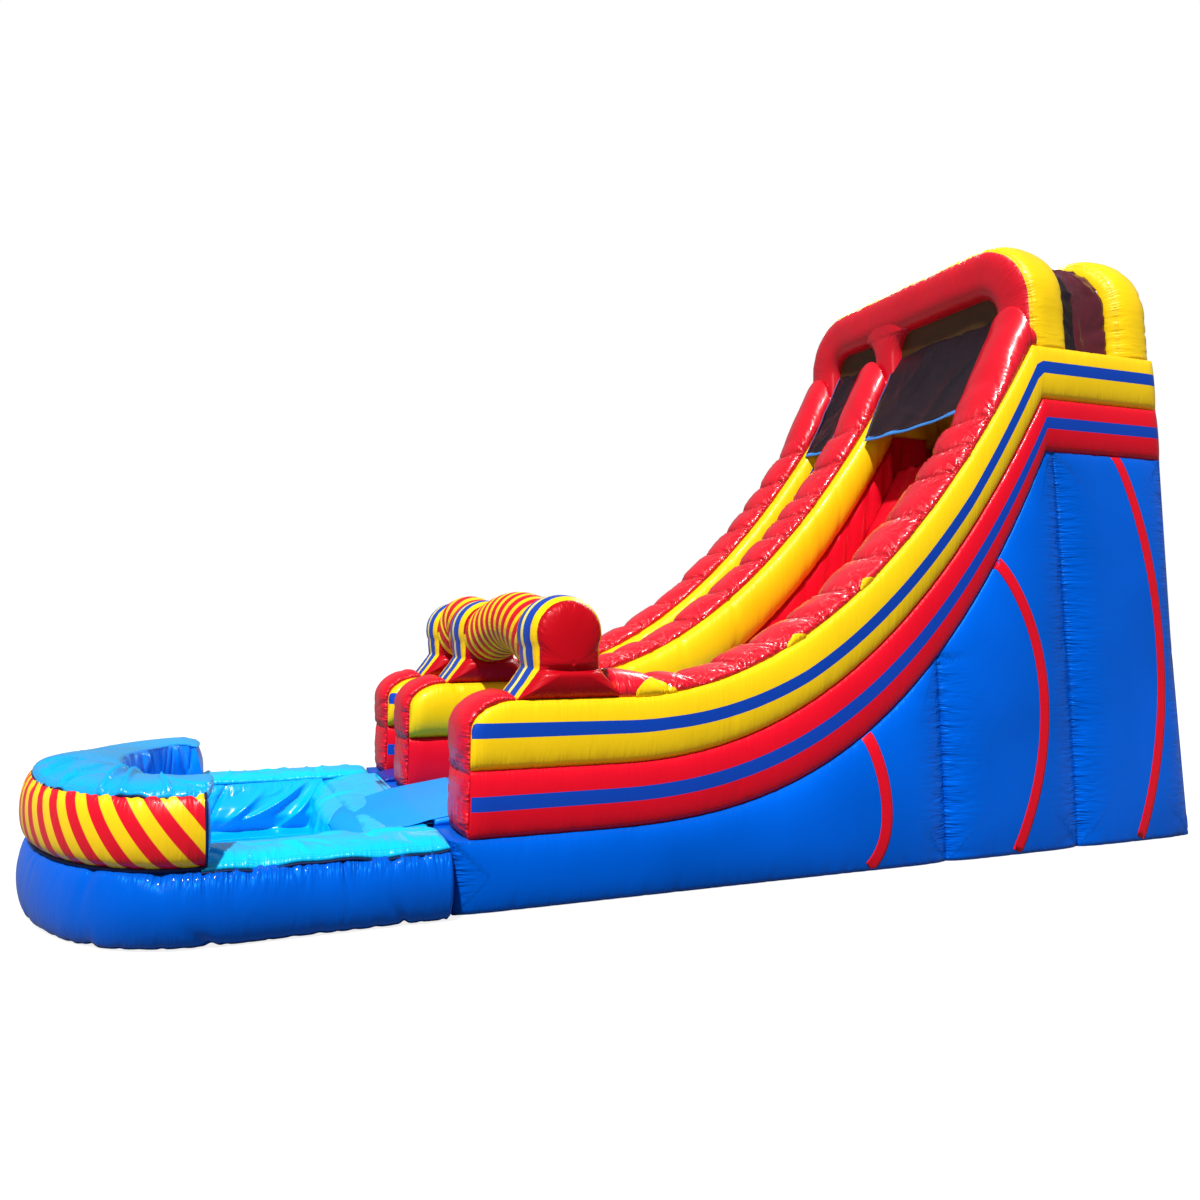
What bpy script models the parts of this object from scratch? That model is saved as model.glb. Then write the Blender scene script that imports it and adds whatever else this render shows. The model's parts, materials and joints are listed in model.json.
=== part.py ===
"""Inflatable water slide: a climbing lane and a slide lane that end in a splash pool.

The slide frame has its origin at the front near ground corner of the slide, +X to the tower,
+Y from the near side to the far side and +Z up. At the end the site empty is moved, so that
the whole object stands centred on the world's origin.
"""
import math

import bmesh
import bpy
from mathutils import Matrix, Vector

# Object
OBJECT_NAME = "inflatable_water_slide"

# Clearance between pieces that touch
GAP = 0.0003

# Plan of the slide
RUN_LENGTH = 5.05
TOWER_DEPTH = 1.35
WALL_WIDTH = 0.48
SLIDE_LANE_WIDTH = 1.49
CLIMB_LANE_WIDTH = 0.51
BASE_FRONT_SEAM = 3.81
BASE_REAR_SEAM = 5.14

# Heights of the side bands, at the pool end and at the tower
BASE_FRONT_HEIGHT = 0.44
RED_BAND_FRONT = 0.42
YELLOW_BAND_FRONT = 0.43
BASE_TOWER_HEIGHT = 3.23
RED_BAND_TOWER = 0.46
YELLOW_BAND_TOWER = 0.46

# Where each band edge leaves the flat run, and how sharply it climbs
BASE_CURVE_START = 0.90
RED_CURVE_START = 1.10
YELLOW_CURVE_START = 1.20
YELLOW_CORNER_LEAD = 0.07
BASE_CURVE_POWER = 2.65
RED_CURVE_POWER = 2.2
YELLOW_CURVE_POWER = 2.0
CURVE_CELLS = 16

# Air-filled faces
BASE_PUFF = 0.055
BAND_PUFF = 0.045
INNER_PUFF = 0.035
PUFF_END_REACH = 0.16
PUFF_SHARES = ((0.0, 0.0), (0.12, 0.62), (0.5, 1.0), (0.88, 0.62), (1.0, 0.0))
CROWN_SHARES = ((0.0, 0.0), (0.05, 0.52), (0.2, 0.9), (0.5, 1.0), (0.8, 0.9), (0.95, 0.52), (1.0, 0.0))

# Front end of each wall
WALL_FRONT = 0.10
WALL_FRONT_ROUND_LENGTH = 0.29
WALL_FRONT_ROUND_HEIGHT = 0.19
WALL_FRONT_ROUND_CELLS = 5
CAP_CROWN = 0.10
CAP_FOOT_CELLS = 5
CAP_CROWN_SHARES = (0.12, 0.62, 0.9, 1.0, 1.0, 0.98, 0.95, 0.92, 0.88, 0.72, 0.30)

# Bolsters on the walls
BOLSTER_CROWN = 0.11
BOLSTER_END_CROWN = 0.29
BOLSTER_PUFFS = 15
BOLSTER_PUFF_CELLS = 4
BOLSTER_PLEAT_DEPTH = 0.035
BOLSTER_LEAN_LENGTH = 0.75
BOLSTER_START_CLEARANCE = 0.02

# Lane beds
BED_THICKNESS = 0.12
BED_FRONT_THICKNESS = 0.04
BED_RAMP_LENGTH = 0.60
BED_SIDE_CLEARANCE = 0.04
STEP_COUNT = 6
CELLS_BELOW_STEPS = 4
CELLS_PER_STEP = 2
STEP_DEPTH = 0.16
STEP_HEIGHT = 0.085
STEP_END_SHARES = ((0.0, 0.55), (0.04, 0.82), (0.12, 0.96), (0.25, 1.0),
                   (0.75, 1.0), (0.88, 0.96), (0.96, 0.82), (1.0, 0.55))

# Tower top
HEADER_DEPTH = 0.44
HEADER_RISE = 1.11
HEADER_BEAM_HEIGHT = 0.51
HEADER_FRONT_SETBACK = 0.02
HEADER_CORNER_RADIUS = 0.68
WINDOW_CORNER_RADIUS = 0.20
ARCH_ROUNDING = 0.09
REAR_ARCH_LEG_WIDTH = 0.44
MESH_INSET = 0.15
MESH_THICKNESS = 0.010
WINDOW_MESH_HEIGHT = 0.28

# Safety nets over the lanes
NET_REACH = 0.51
NET_DROP = 0.88
NET_EDGE_MARGIN = 0.010
NET_THICKNESS = 0.008
WEBBING_WIDTH = 0.045
WEBBING_THICKNESS = 0.012

# Columns and the striped tubes between them
COLUMN_FOOT_START = 0.41
COLUMN_FOOT_LENGTH = 0.69
COLUMN_FOOT_HEIGHT = 0.20
COLUMN_NECK_LENGTH = 0.39
COLUMN_HEAD_RADIUS = 0.215
COLUMN_HEAD_HEIGHT = 0.43
COLUMN_THICKNESS = 0.44
COLUMN_ROUNDING = 0.045
TUBE_RADIUS = 0.24
TUBE_END_SHARE = 0.80
TUBE_RISE = 0.085
TUBE_POINTS = 11

# Splash pool
POOL_GAP = 0.05
POOL_SIDE_OVERHANG = 0.06
POOL_STRAIGHT_LENGTH = 1.45
POOL_ROUND_LENGTH = 1.06
POOL_ROUND_CELLS = 20
POOL_WALL_WIDTH = 0.50
POOL_WALL_DROP = 0.02
POOL_PUFF = 0.055
RIM_CROWN = 0.045
REAR_WALL_DEPTH = 0.40
REAR_WALL_RISE = 0.025
REAR_WALL_ROUNDING = 0.09
TRAY_THICKNESS = 0.03
BUMPER_HEIGHT = 0.40
BUMPER_ARM_LENGTH = 0.06
BUMPER_TOP_CROWN = 0.055
LINING_THICKNESS = 0.035
APRON_THICKNESS = 0.03
APRON_REACH = 0.50
APRON_WALL_CLEARANCE = 0.07
APRON_CORNER_RADIUS = 0.16

# Anchor rings on the back
RING_HEIGHT = 0.14
RING_SIDE_INSET = 0.30
RING_WIDTH = 0.075
RING_WIRE_RADIUS = 0.004
RING_ARC_CELLS = 12
RING_STANDOFF = 0.014
TAB_WIDTH = 0.046
TAB_HEIGHT = 0.080
TAB_BORE_CLEARANCE = 0.0008
TAB_WRAP = 0.005

# Deflation zip and its cover on the back
ZIP_SIDE = 0.80
ZIP_BOTTOM = 0.50
ZIP_LENGTH = 0.60
ZIP_TAPE_WIDTH = 0.050
ZIP_TAPE_THICKNESS = 0.006
SLIDER_WIDTH = 0.024
SLIDER_HEIGHT = 0.034
SLIDER_THICKNESS = 0.010
COVER_WIDTH = 0.14
COVER_THICKNESS = 0.003
COVER_HEM_RADIUS = 0.005
COVER_STANDOFF = 0.036
COVER_OVERLAP = 0.05
BATTEN_HEIGHT = 0.030

# Blower sleeve on the back
SLEEVE_SIDE = 2.35
SLEEVE_HEIGHT = 0.34
SLEEVE_RADIUS = 0.13
SLEEVE_WALL = 0.008
SLEEVE_LENGTH = 0.34
SLEEVE_SIDES = 20

# Sizes that follow from the ones above
BODY_LENGTH = RUN_LENGTH + TOWER_DEPTH
NEAR_WALL = 0.0
MIDDLE_WALL = WALL_WIDTH + SLIDE_LANE_WIDTH
FAR_WALL = MIDDLE_WALL + WALL_WIDTH + CLIMB_LANE_WIDTH
BODY_WIDTH = FAR_WALL + WALL_WIDTH
RED_TOP_FRONT = BASE_FRONT_HEIGHT + RED_BAND_FRONT
YELLOW_TOP_FRONT = RED_TOP_FRONT + YELLOW_BAND_FRONT
RED_TOP_TOWER = BASE_TOWER_HEIGHT + RED_BAND_TOWER
YELLOW_TOP_TOWER = RED_TOP_TOWER + YELLOW_BAND_TOWER
YELLOW_CORNER = RUN_LENGTH - YELLOW_CORNER_LEAD
WALL_ROUND_END = WALL_FRONT + WALL_FRONT_ROUND_LENGTH
HEADER_FRONT = RUN_LENGTH - HEADER_FRONT_SETBACK
HEADER_BACK = HEADER_FRONT + HEADER_DEPTH
HEADER_TOP = YELLOW_TOP_TOWER + HEADER_RISE
DOORWAY_TOP = HEADER_TOP - HEADER_BEAM_HEIGHT
REAR_ARCH_FRONT = BODY_LENGTH - HEADER_DEPTH
COLUMN_CENTRE = COLUMN_FOOT_START + COLUMN_FOOT_LENGTH / 2
COLUMN_HEAD_CENTRE = YELLOW_TOP_FRONT + COLUMN_HEAD_HEIGHT
COLUMN_INSET = (WALL_WIDTH - COLUMN_THICKNESS) / 2
POOL_WALL_HEIGHT = BASE_FRONT_HEIGHT - POOL_WALL_DROP
POOL_CENTRE_X = -POOL_GAP - POOL_STRAIGHT_LENGTH
POOL_MIDDLE_Y = BODY_WIDTH / 2
POOL_HALF_WIDTH = BODY_WIDTH / 2 + POOL_SIDE_OVERHANG
BUMPER_BASE = POOL_WALL_HEIGHT + GAP
BUMPER_TOP = POOL_WALL_HEIGHT + BUMPER_HEIGHT
POOL_REAR_INNER_X = -POOL_GAP - REAR_WALL_DEPTH
ZIP_TOP = ZIP_BOTTOM + ZIP_LENGTH


# Collections, materials and placing

def clear_scene():
    for item in list(bpy.data.objects):
        bpy.data.objects.remove(item, do_unlink=True)


def make_collection(name):
    collection = bpy.data.collections.new(name)
    bpy.context.scene.collection.children.link(collection)
    return collection


def vinyl(name, colour, roughness=0.28, metallic=0.0):
    material = bpy.data.materials.new(name)
    material.use_nodes = True
    shader = material.node_tree.nodes["Principled BSDF"]
    shader.inputs["Base Color"].default_value = (*colour, 1.0)
    shader.inputs["Roughness"].default_value = roughness
    shader.inputs["Metallic"].default_value = metallic
    return material


def make_empty(name, location, parent=None):
    empty = bpy.data.objects.new(name, None)
    empty.location = location
    empty.parent = parent
    PARTS.objects.link(empty)
    return empty


def finish(item, material, parent, smooth=True):
    """Link an object into the parts, colour it and hang it on its parent, where it stands."""
    item.data.materials.append(material)
    item.parent = parent
    if parent is not SITE:
        item.matrix_parent_inverse = Matrix.Translation(-parent.location)
    PARTS.objects.link(item)
    if smooth and item.type == "MESH":
        item.data.shade_smooth()
        item.data.set_sharp_from_angle(angle=math.radians(40))
    return item


# Shapes

def loft(name, rings):
    """A closed skin through rings of points, with a flat face over the first and last ring."""
    mesh = bpy.data.meshes.new(name)
    shell = bmesh.new()
    rows = [[shell.verts.new(point) for point in ring] for ring in rings]
    for row, following in zip(rows, rows[1:]):
        for index in range(len(row)):
            after = (index + 1) % len(row)
            shell.faces.new((row[index], row[after], following[after], following[index]))
    shell.faces.new(rows[0][::-1])
    shell.faces.new(rows[-1])
    bmesh.ops.recalc_face_normals(shell, faces=shell.faces)
    shell.to_mesh(mesh)
    shell.free()
    return bpy.data.objects.new(name, mesh)


def block(name, low, high, rounding=0.0, segments=3):
    """A box from corner to corner, with rounded edges if asked."""
    mesh = bpy.data.meshes.new(name)
    shell = bmesh.new()
    size = Vector(high) - Vector(low)
    middle = (Vector(high) + Vector(low)) / 2
    bmesh.ops.create_cube(shell, size=1.0, matrix=Matrix.Translation(middle) @ Matrix.Diagonal((*size, 1.0)))
    shell.to_mesh(mesh)
    shell.free()
    item = bpy.data.objects.new(name, mesh)
    if rounding:
        bevel = item.modifiers.new("rounding", "BEVEL")
        bevel.width = rounding
        bevel.segments = segments
    return item


def outline(name, loops, thickness, rounding=0.0, resolution=1):
    """A flat outline, with any holes, thickened about its own plane."""
    curve = bpy.data.curves.new(name, "CURVE")
    curve.dimensions = "2D"
    curve.fill_mode = "BOTH"
    curve.extrude = thickness / 2 - rounding
    curve.bevel_depth = rounding
    curve.bevel_resolution = resolution
    curve.offset = -rounding
    for loop in loops:
        spline = curve.splines.new("POLY")
        spline.points.add(len(loop) - 1)
        spline.use_cyclic_u = True
        for point, (across, up) in zip(spline.points, loop):
            point.co = (across, up, 0.0, 1.0)
    return bpy.data.objects.new(name, curve)


def stand_along_x(item, y):
    """Turn an outline so that its plane is XZ, centred on y."""
    item.rotation_euler = (math.pi / 2, 0.0, 0.0)
    item.location = (0.0, y, 0.0)
    return item


def stand_along_y(item, x):
    """Turn an outline so that its plane is YZ, centred on x."""
    item.rotation_euler = (math.pi / 2, 0.0, math.pi / 2)
    item.location = (x, 0.0, 0.0)
    return item


def tube(name, points, radius, shares=None, closed=False, resolution=4):
    curve = bpy.data.curves.new(name, "CURVE")
    curve.dimensions = "3D"
    curve.bevel_depth = radius
    curve.bevel_resolution = resolution
    curve.use_fill_caps = not closed
    spline = curve.splines.new("POLY")
    spline.points.add(len(points) - 1)
    spline.use_cyclic_u = closed
    for index, place in enumerate(points):
        spline.points[index].co = (*place, 1.0)
        spline.points[index].radius = shares[index] if shares else 1.0
    return bpy.data.objects.new(name, curve)


def arc(centre, radius, start, stop, cells, height=None):
    """Points on an arc, or on an elliptical one if a second radius is given; degrees."""
    rise = radius if height is None else height
    angles = [math.radians(start + (stop - start) * step / cells) for step in range(cells + 1)]
    return [(centre[0] + radius * math.cos(a), centre[1] + rise * math.sin(a)) for a in angles]


# Band edges, drawn as straight cells so that neighbours share the same line

class Edge:
    def __init__(self, low, high, start, stop, power):
        self.low, self.high = low, high
        self.start, self.stop = start, stop
        self.power = power
        cells = curve_grid()
        inner = [x for x in cells if x < stop]
        self.grid = [0.0, *inner, stop, BODY_LENGTH]

    def formula(self, x):
        share = min(max((x - self.start) / (self.stop - self.start), 0.0), 1.0)
        return self.low + (self.high - self.low) * share ** self.power

    def at(self, x):
        for left, right in zip(self.grid, self.grid[1:]):
            if x <= right:
                share = (x - left) / (right - left)
                return self.formula(left) * (1 - share) + self.formula(right) * share
        return self.formula(self.grid[-1])

    def slope(self, x):
        for left, right in zip(self.grid, self.grid[1:]):
            if x < right:
                return math.atan2(self.formula(right) - self.formula(left), right - left)
        return 0.0


def curve_grid():
    """Stations along the curved run, the same for every band edge."""
    span = RUN_LENGTH - BASE_CURVE_START
    return [BASE_CURVE_START + span * cell / CURVE_CELLS for cell in range(CURVE_CELLS + 1)]


def stations(start, stop, extra=()):
    """All grid stations between two ends, with the ends and any extra ones."""
    places = {round(x, 6) for x in (*curve_grid(), YELLOW_CORNER, *extra) if start < x < stop}
    return [start, *sorted(places), stop]


def end_share(x, start, stop, reach):
    """Rises from nothing to one within a reach of either end, like the end of an air chamber."""
    depth = min(x - start, stop - x, reach) / reach
    return math.sqrt(max(1 - (1 - depth) ** 2, 0.0))


def chamber_ring(x, sides, puffs, low, high):
    """One upright slice of a chamber, puffed out on both sides."""
    near, far = sides
    height = high - low
    ring = [(x, near - puffs[0] * puff, low + height * share) for share, puff in PUFF_SHARES]
    ring += [(x, far + puffs[1] * puff, low + height * share) for share, puff in reversed(PUFF_SHARES)]
    return ring


def crown_ring(base, across, outward, width, crown):
    """One slice of a bolster: flat underneath, crowned on top."""
    ring = [Vector(base) + Vector(across) * (width * share) + Vector(outward) * (crown * rise)
            for share, rise in CROWN_SHARES]
    return ring


# Base chambers

def base_chamber(name, start, stop):
    reach = PUFF_END_REACH
    extra = (start + reach / 8, start + reach / 2, start + reach, stop - reach, stop - reach / 2, stop - reach / 8)
    rings = []
    for x in stations(start, stop, extra):
        puff = BASE_PUFF * end_share(x, start, stop, reach)
        rings.append(chamber_ring(x, (NEAR_WALL, BODY_WIDTH), (puff, puff), 0.0, BASE_LINE.at(x) - GAP))
    return finish(loft(name, rings), ROYAL_BLUE, SITE)


# Walls: a red chamber, a yellow chamber, a front cap and a bolster on each

def yellow_top(x):
    """Top of the yellow chamber, with its rounded front."""
    if x >= WALL_ROUND_END:
        return YELLOW_LINE.at(x)
    share = (WALL_ROUND_END - x) / WALL_FRONT_ROUND_LENGTH
    drop = WALL_FRONT_ROUND_HEIGHT * (1 - math.sqrt(max(1 - share ** 2, 0.0)))
    return YELLOW_TOP_FRONT - drop


def wall_front_grid():
    """Stations round the rounded front of a wall."""
    quarter = [math.pi / 2 * cell / WALL_FRONT_ROUND_CELLS for cell in range(WALL_FRONT_ROUND_CELLS + 1)]
    return [WALL_ROUND_END - WALL_FRONT_ROUND_LENGTH * math.cos(angle) for angle in quarter]


def face_puff(faces_a_lane, x, stop):
    """Puff of one face of a wall. A face on a lane goes flat where the tower's pieces meet it."""
    ends = end_share(x, WALL_FRONT - PUFF_END_REACH / 2, stop, PUFF_END_REACH)
    if faces_a_lane:
        return INNER_PUFF * ends if x < HEADER_FRONT - GAP else 0.0
    return BAND_PUFF * ends


def wall_chamber(name, side, stop, low, high, lane_faces, material):
    rings = []
    extra = (*wall_front_grid(), HEADER_FRONT, stop - PUFF_END_REACH, stop - PUFF_END_REACH / 2)
    for x in stations(WALL_FRONT, stop, extra):
        puffs = [face_puff(faces_a_lane, x, stop) for faces_a_lane in lane_faces]
        rings.append(chamber_ring(x, (side, side + WALL_WIDTH), puffs, low(x), high(x) - GAP))
    return finish(loft(name, rings), material, SITE)


def front_cap(name, side):
    """The red end that wraps the front of a wall, thickest half way up."""
    upright = YELLOW_TOP_FRONT - WALL_FRONT_ROUND_HEIGHT - BASE_FRONT_HEIGHT
    path = [((WALL_FRONT, BASE_FRONT_HEIGHT + upright * cell / CAP_FOOT_CELLS), (-1.0, 0.0))
            for cell in range(CAP_FOOT_CELLS)]
    for cell in range(WALL_FRONT_ROUND_CELLS + 1):
        angle = math.pi / 2 * cell / WALL_FRONT_ROUND_CELLS
        x = WALL_ROUND_END - WALL_FRONT_ROUND_LENGTH * math.cos(angle)
        path.append(((x, yellow_top(x)), (-math.cos(angle), math.sin(angle))))
    rings = []
    for (place, outward), share in zip(path, CAP_CROWN_SHARES):
        base = (place[0] + outward[0] * GAP, side, place[1] + outward[1] * GAP + GAP)
        rings.append(crown_ring(base, (0, 1, 0), (outward[0], 0, outward[1]), WALL_WIDTH, CAP_CROWN * share))
    return finish(loft(name, rings), RED, SITE)


def bolster_path():
    """Stations along the yellow band's top, evenly spaced up to its corner, then one at the header."""
    start = COLUMN_FOOT_START + COLUMN_FOOT_LENGTH + BOLSTER_START_CLEARANCE
    line = [start] + [x for x in YELLOW_LINE.grid if start < x <= YELLOW_CORNER]
    runs = [math.hypot(b - a, YELLOW_LINE.at(b) - YELLOW_LINE.at(a)) for a, b in zip(line, line[1:])]
    total = sum(runs)
    last = HEADER_FRONT - GAP - YELLOW_CORNER
    count = BOLSTER_PUFFS * BOLSTER_PUFF_CELLS
    for step in range(count):
        left = total * step / count
        index = 0
        while left > runs[index]:
            left -= runs[index]
            index += 1
        share = left / runs[index]
        x = line[index] * (1 - share) + line[index + 1] * share
        yield step, x, total * (1 - step / count) + last
    yield count, YELLOW_CORNER, last
    yield count, YELLOW_CORNER + last, 0.0


def bolster(name, side):
    rings = []
    for step, x, left in bolster_path():
        ends = min(left / BOLSTER_LEAN_LENGTH, 1.0)
        lean = YELLOW_LINE.slope(x) * ends
        pleat = math.sin(math.pi * (step % BOLSTER_PUFF_CELLS) / BOLSTER_PUFF_CELLS)
        depth = BOLSTER_PLEAT_DEPTH * (1 - pleat) * ends
        crown = BOLSTER_CROWN * ends + BOLSTER_END_CROWN * (1 - ends) - depth
        base = (x, side, YELLOW_LINE.at(x) + GAP)
        rings.append(crown_ring(base, (0, 1, 0), (-math.sin(lean), 0, math.cos(lean)), WALL_WIDTH, crown))
    return finish(loft(name, rings), RED, SITE)


# Lanes and deck

def bed_top(x):
    ramp = min(x / BED_RAMP_LENGTH, 1.0)
    return BASE_LINE.at(x) + BED_FRONT_THICKNESS + (BED_THICKNESS - BED_FRONT_THICKNESS) * ramp


def lane_bed(name, near, far, material):
    rings = []
    for x in stations(0.0, RUN_LENGTH - GAP, (BED_RAMP_LENGTH,)):
        low, high = BASE_LINE.at(x), bed_top(x)
        rings.append([(x, near, low), (x, far, low), (x, far, high), (x, near, high)])
    return finish(loft(name, rings), material, SITE, smooth=False)


def climb_step(number, cell, near, far):
    """A half round foothold with drawn-in ends, flat on one straight cell of the climbing bed."""
    grid = curve_grid()
    left, right = grid[cell], grid[cell + 1]
    middle = (left + right) / 2
    height = (bed_top(left) + bed_top(right)) / 2
    slope = math.atan2(bed_top(right) - bed_top(left), right - left)
    rings = []
    for place, size in STEP_END_SHARES:
        profile = arc((0.0, GAP), STEP_DEPTH / 2 * size, 0, 180, 10, STEP_HEIGHT * size)
        rings.append([(across, near + (far - near) * place, up) for across, up in profile])
    item = loft(f"climb_step_{number}", rings)
    item.rotation_euler = (0.0, -slope, 0.0)
    item.location = (middle, 0.0, height)
    return finish(item, RED, SITE)


def platform_deck():
    """Deck between the walls, notched round the middle wall under the header."""
    front, back = RUN_LENGTH, REAR_ARCH_FRONT - GAP
    notch = HEADER_BACK + GAP
    near, far = WALL_WIDTH + GAP, FAR_WALL - GAP
    plan = [(front, near), (back, near), (back, far), (front, far),
            (front, MIDDLE_WALL + WALL_WIDTH + GAP), (notch, MIDDLE_WALL + WALL_WIDTH + GAP),
            (notch, MIDDLE_WALL - GAP), (front, MIDDLE_WALL - GAP)]
    item = outline("platform_deck", [plan], BED_THICKNESS)
    item.location = (0.0, 0.0, BASE_TOWER_HEIGHT + BED_THICKNESS / 2)
    return finish(item, RED, SITE, smooth=False)


def back_wall(name, low, high, material):
    item = block(name, (REAR_ARCH_FRONT, WALL_WIDTH + GAP, low), (BODY_LENGTH, FAR_WALL - GAP, high - GAP))
    return finish(item, material, SITE, smooth=False)


# Tower top

def tower_outline(inset, foot):
    """Outer line of both arches, from the near foot over the top to the far foot."""
    radius = HEADER_CORNER_RADIUS - inset
    near_turn = (HEADER_CORNER_RADIUS, HEADER_TOP - HEADER_CORNER_RADIUS)
    far_turn = (BODY_WIDTH - HEADER_CORNER_RADIUS, near_turn[1])
    return [(inset, foot), *arc(near_turn, radius, 180, 90, 8), *arc(far_turn, radius, 90, 0, 8),
            (BODY_WIDTH - inset, foot)]


def doorway(near, far, foot, radius=WINDOW_CORNER_RADIUS, shrink=0.0):
    """Line of a doorway, from its far foot over the top to its near foot."""
    far_turn = (far - radius, DOORWAY_TOP - radius)
    near_turn = (near + radius, far_turn[1])
    reach = radius - shrink
    return [(far - shrink, foot), *arc(far_turn, reach, 0, 90, 5), *arc(near_turn, reach, 90, 180, 5),
            (near + shrink, foot)]


def header():
    foot = YELLOW_TOP_TOWER + GAP
    line = tower_outline(0.0, foot)
    line += doorway(MIDDLE_WALL + WALL_WIDTH, FAR_WALL, foot)
    line += doorway(WALL_WIDTH, MIDDLE_WALL, foot)
    item = outline("header_arch", [line], HEADER_DEPTH, ARCH_ROUNDING, 2)
    return finish(stand_along_y(item, HEADER_FRONT + HEADER_DEPTH / 2), RED, SITE)


def rear_arch():
    foot = YELLOW_TOP_TOWER + GAP
    line = tower_outline(0.0, foot)
    line += doorway(REAR_ARCH_LEG_WIDTH, BODY_WIDTH - REAR_ARCH_LEG_WIDTH, foot)
    item = outline("rear_arch", [line], HEADER_DEPTH, ARCH_ROUNDING, 2)
    return finish(stand_along_y(item, REAR_ARCH_FRONT + HEADER_DEPTH / 2), YELLOW, SITE)


def roof_mesh():
    """Dark mesh from wall top to wall top, between the two arches."""
    foot = YELLOW_TOP_TOWER + GAP
    outer = tower_outline(MESH_INSET, foot)
    inner = tower_outline(MESH_INSET + MESH_THICKNESS, foot)
    width = REAR_ARCH_FRONT - HEADER_BACK - 2 * GAP
    item = outline("roof_mesh", [outer + inner[::-1]], width)
    return finish(stand_along_y(item, (HEADER_BACK + REAR_ARCH_FRONT) / 2), DARK_MESH, SITE)


def opening_mesh(name, near, far, foot, x):
    """A flat mesh panel that fills the top of a doorway."""
    line = doorway(near, far, foot, shrink=GAP)
    item = outline(name, [line], MESH_THICKNESS)
    return finish(stand_along_y(item, x), DARK_MESH, SITE)


def lane_net(name, near, far):
    """The net that slopes from inside the header down over a lane, and the webbing on its lower edge."""
    top = Vector((HEADER_FRONT + ARCH_ROUNDING + NET_EDGE_MARGIN, 0.0,
                  DOORWAY_TOP - WINDOW_CORNER_RADIUS - NET_EDGE_MARGIN))
    down = Vector((-NET_REACH, 0.0, -NET_DROP))
    length = down.length
    middle = top + down / 2
    tilt = math.atan2(NET_REACH, NET_DROP)
    for piece, start, stop, thickness, material in (
            (name, -length / 2, length / 2, NET_THICKNESS, DARK_MESH),
            (f"{name}_webbing", -length / 2 - GAP - WEBBING_WIDTH, -length / 2 - GAP, WEBBING_THICKNESS, STRIPE_BLUE)):
        item = block(piece, (-thickness / 2, near + GAP, start), (thickness / 2, far - GAP, stop))
        item.rotation_euler = (0.0, tilt, 0.0)
        item.location = middle
        finish(item, material, SITE, smooth=False)


# Columns and tubes

def column_line():
    """Keyhole outline of a column: flared foot, neck and round head."""
    foot = YELLOW_TOP_FRONT + GAP
    left = COLUMN_CENTRE - COLUMN_FOOT_LENGTH / 2
    right = COLUMN_CENTRE + COLUMN_FOOT_LENGTH / 2
    neck = foot + COLUMN_FOOT_HEIGHT
    head = arc((COLUMN_CENTRE, COLUMN_HEAD_CENTRE), COLUMN_HEAD_RADIUS, 0, 180, 12)
    return [(left, foot), (right, foot), (COLUMN_CENTRE + COLUMN_NECK_LENGTH / 2, neck), *head,
            (COLUMN_CENTRE - COLUMN_NECK_LENGTH / 2, neck)]


def column(name, side):
    item = outline(name, [column_line()], COLUMN_THICKNESS, COLUMN_ROUNDING, 2)
    return finish(stand_along_x(item, side + WALL_WIDTH / 2), RED, SITE)


def striped_tube(name, near, far):
    """A fat tube that arches from one column's head to the next, square to both."""
    start, stop = near + GAP, far - GAP
    points, shares = [], []
    lead = 1 / (TUBE_POINTS - 1)
    for step in range(TUBE_POINTS):
        share = step * lead
        swell = math.sin(math.pi * min(max((share - lead) / (1 - 2 * lead), 0.0), 1.0))
        points.append((COLUMN_CENTRE, start + (stop - start) * share, COLUMN_HEAD_CENTRE + TUBE_RISE * swell ** 2))
        shares.append(TUBE_END_SHARE + (1 - TUBE_END_SHARE) * swell ** 0.5)
    return finish(tube(name, points, TUBE_RADIUS, shares), YELLOW, SITE)


# Splash pool

def pool_line(inset, start):
    """Plan of the pool's U, at an inset from its outer face, from the near end to the far end."""
    half = POOL_HALF_WIDTH - inset
    depth = POOL_ROUND_LENGTH - inset
    near, far = POOL_MIDDLE_Y - half, POOL_MIDDLE_Y + half
    turn = arc((POOL_CENTRE_X, POOL_MIDDLE_Y), -depth, -90, 90, POOL_ROUND_CELLS, half)
    return [(start, near), *turn, (start, far)]


def pool_ring_wall(name, insets, start, low, high, puff, material, parent):
    """A wall that follows the pool's U, between two insets, puffed on its outer face."""
    rings = []
    for outer, inner in zip(pool_line(insets[0], start), pool_line(insets[1], start)):
        outward = (Vector(outer) - Vector(inner)).normalized()
        face = [Vector(outer) + outward * (puff * swell) for _, swell in PUFF_SHARES]
        ring = [(*place, low + (high - low) * share) for place, (share, _) in zip(face, PUFF_SHARES)]
        ring += [(*inner, high), (*inner, low)]
        rings.append(ring)
    return finish(loft(name, rings), material, parent)


def pool_crown(name, start, low, crown, material, parent):
    """A crowned pad that follows the pool's U."""
    rings = []
    for outer, inner in zip(pool_line(0.0, start), pool_line(POOL_WALL_WIDTH, start)):
        across = Vector((*inner, 0.0)) - Vector((*outer, 0.0))
        base = (*outer, low)
        rings.append(crown_ring(base, across.normalized(), (0, 0, 1), across.length, crown))
    return finish(loft(name, rings), material, parent)


def pool_tray(parent):
    """Floor and inner walls of the basin: down the outside, over the rim and onto the floor."""
    back = POOL_REAR_INNER_X - GAP
    outside = pool_line(POOL_WALL_WIDTH + GAP, back)
    inside = pool_line(POOL_WALL_WIDTH + GAP + TRAY_THICKNESS, back - TRAY_THICKNESS)
    levels = ((outside, 0.0), (outside, POOL_WALL_HEIGHT), (inside, POOL_WALL_HEIGHT), (inside, TRAY_THICKNESS))
    rings = [[(*place, height) for place in line] for line, height in levels]
    return finish(loft("pool_tray", rings), LIGHT_BLUE, parent)


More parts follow.
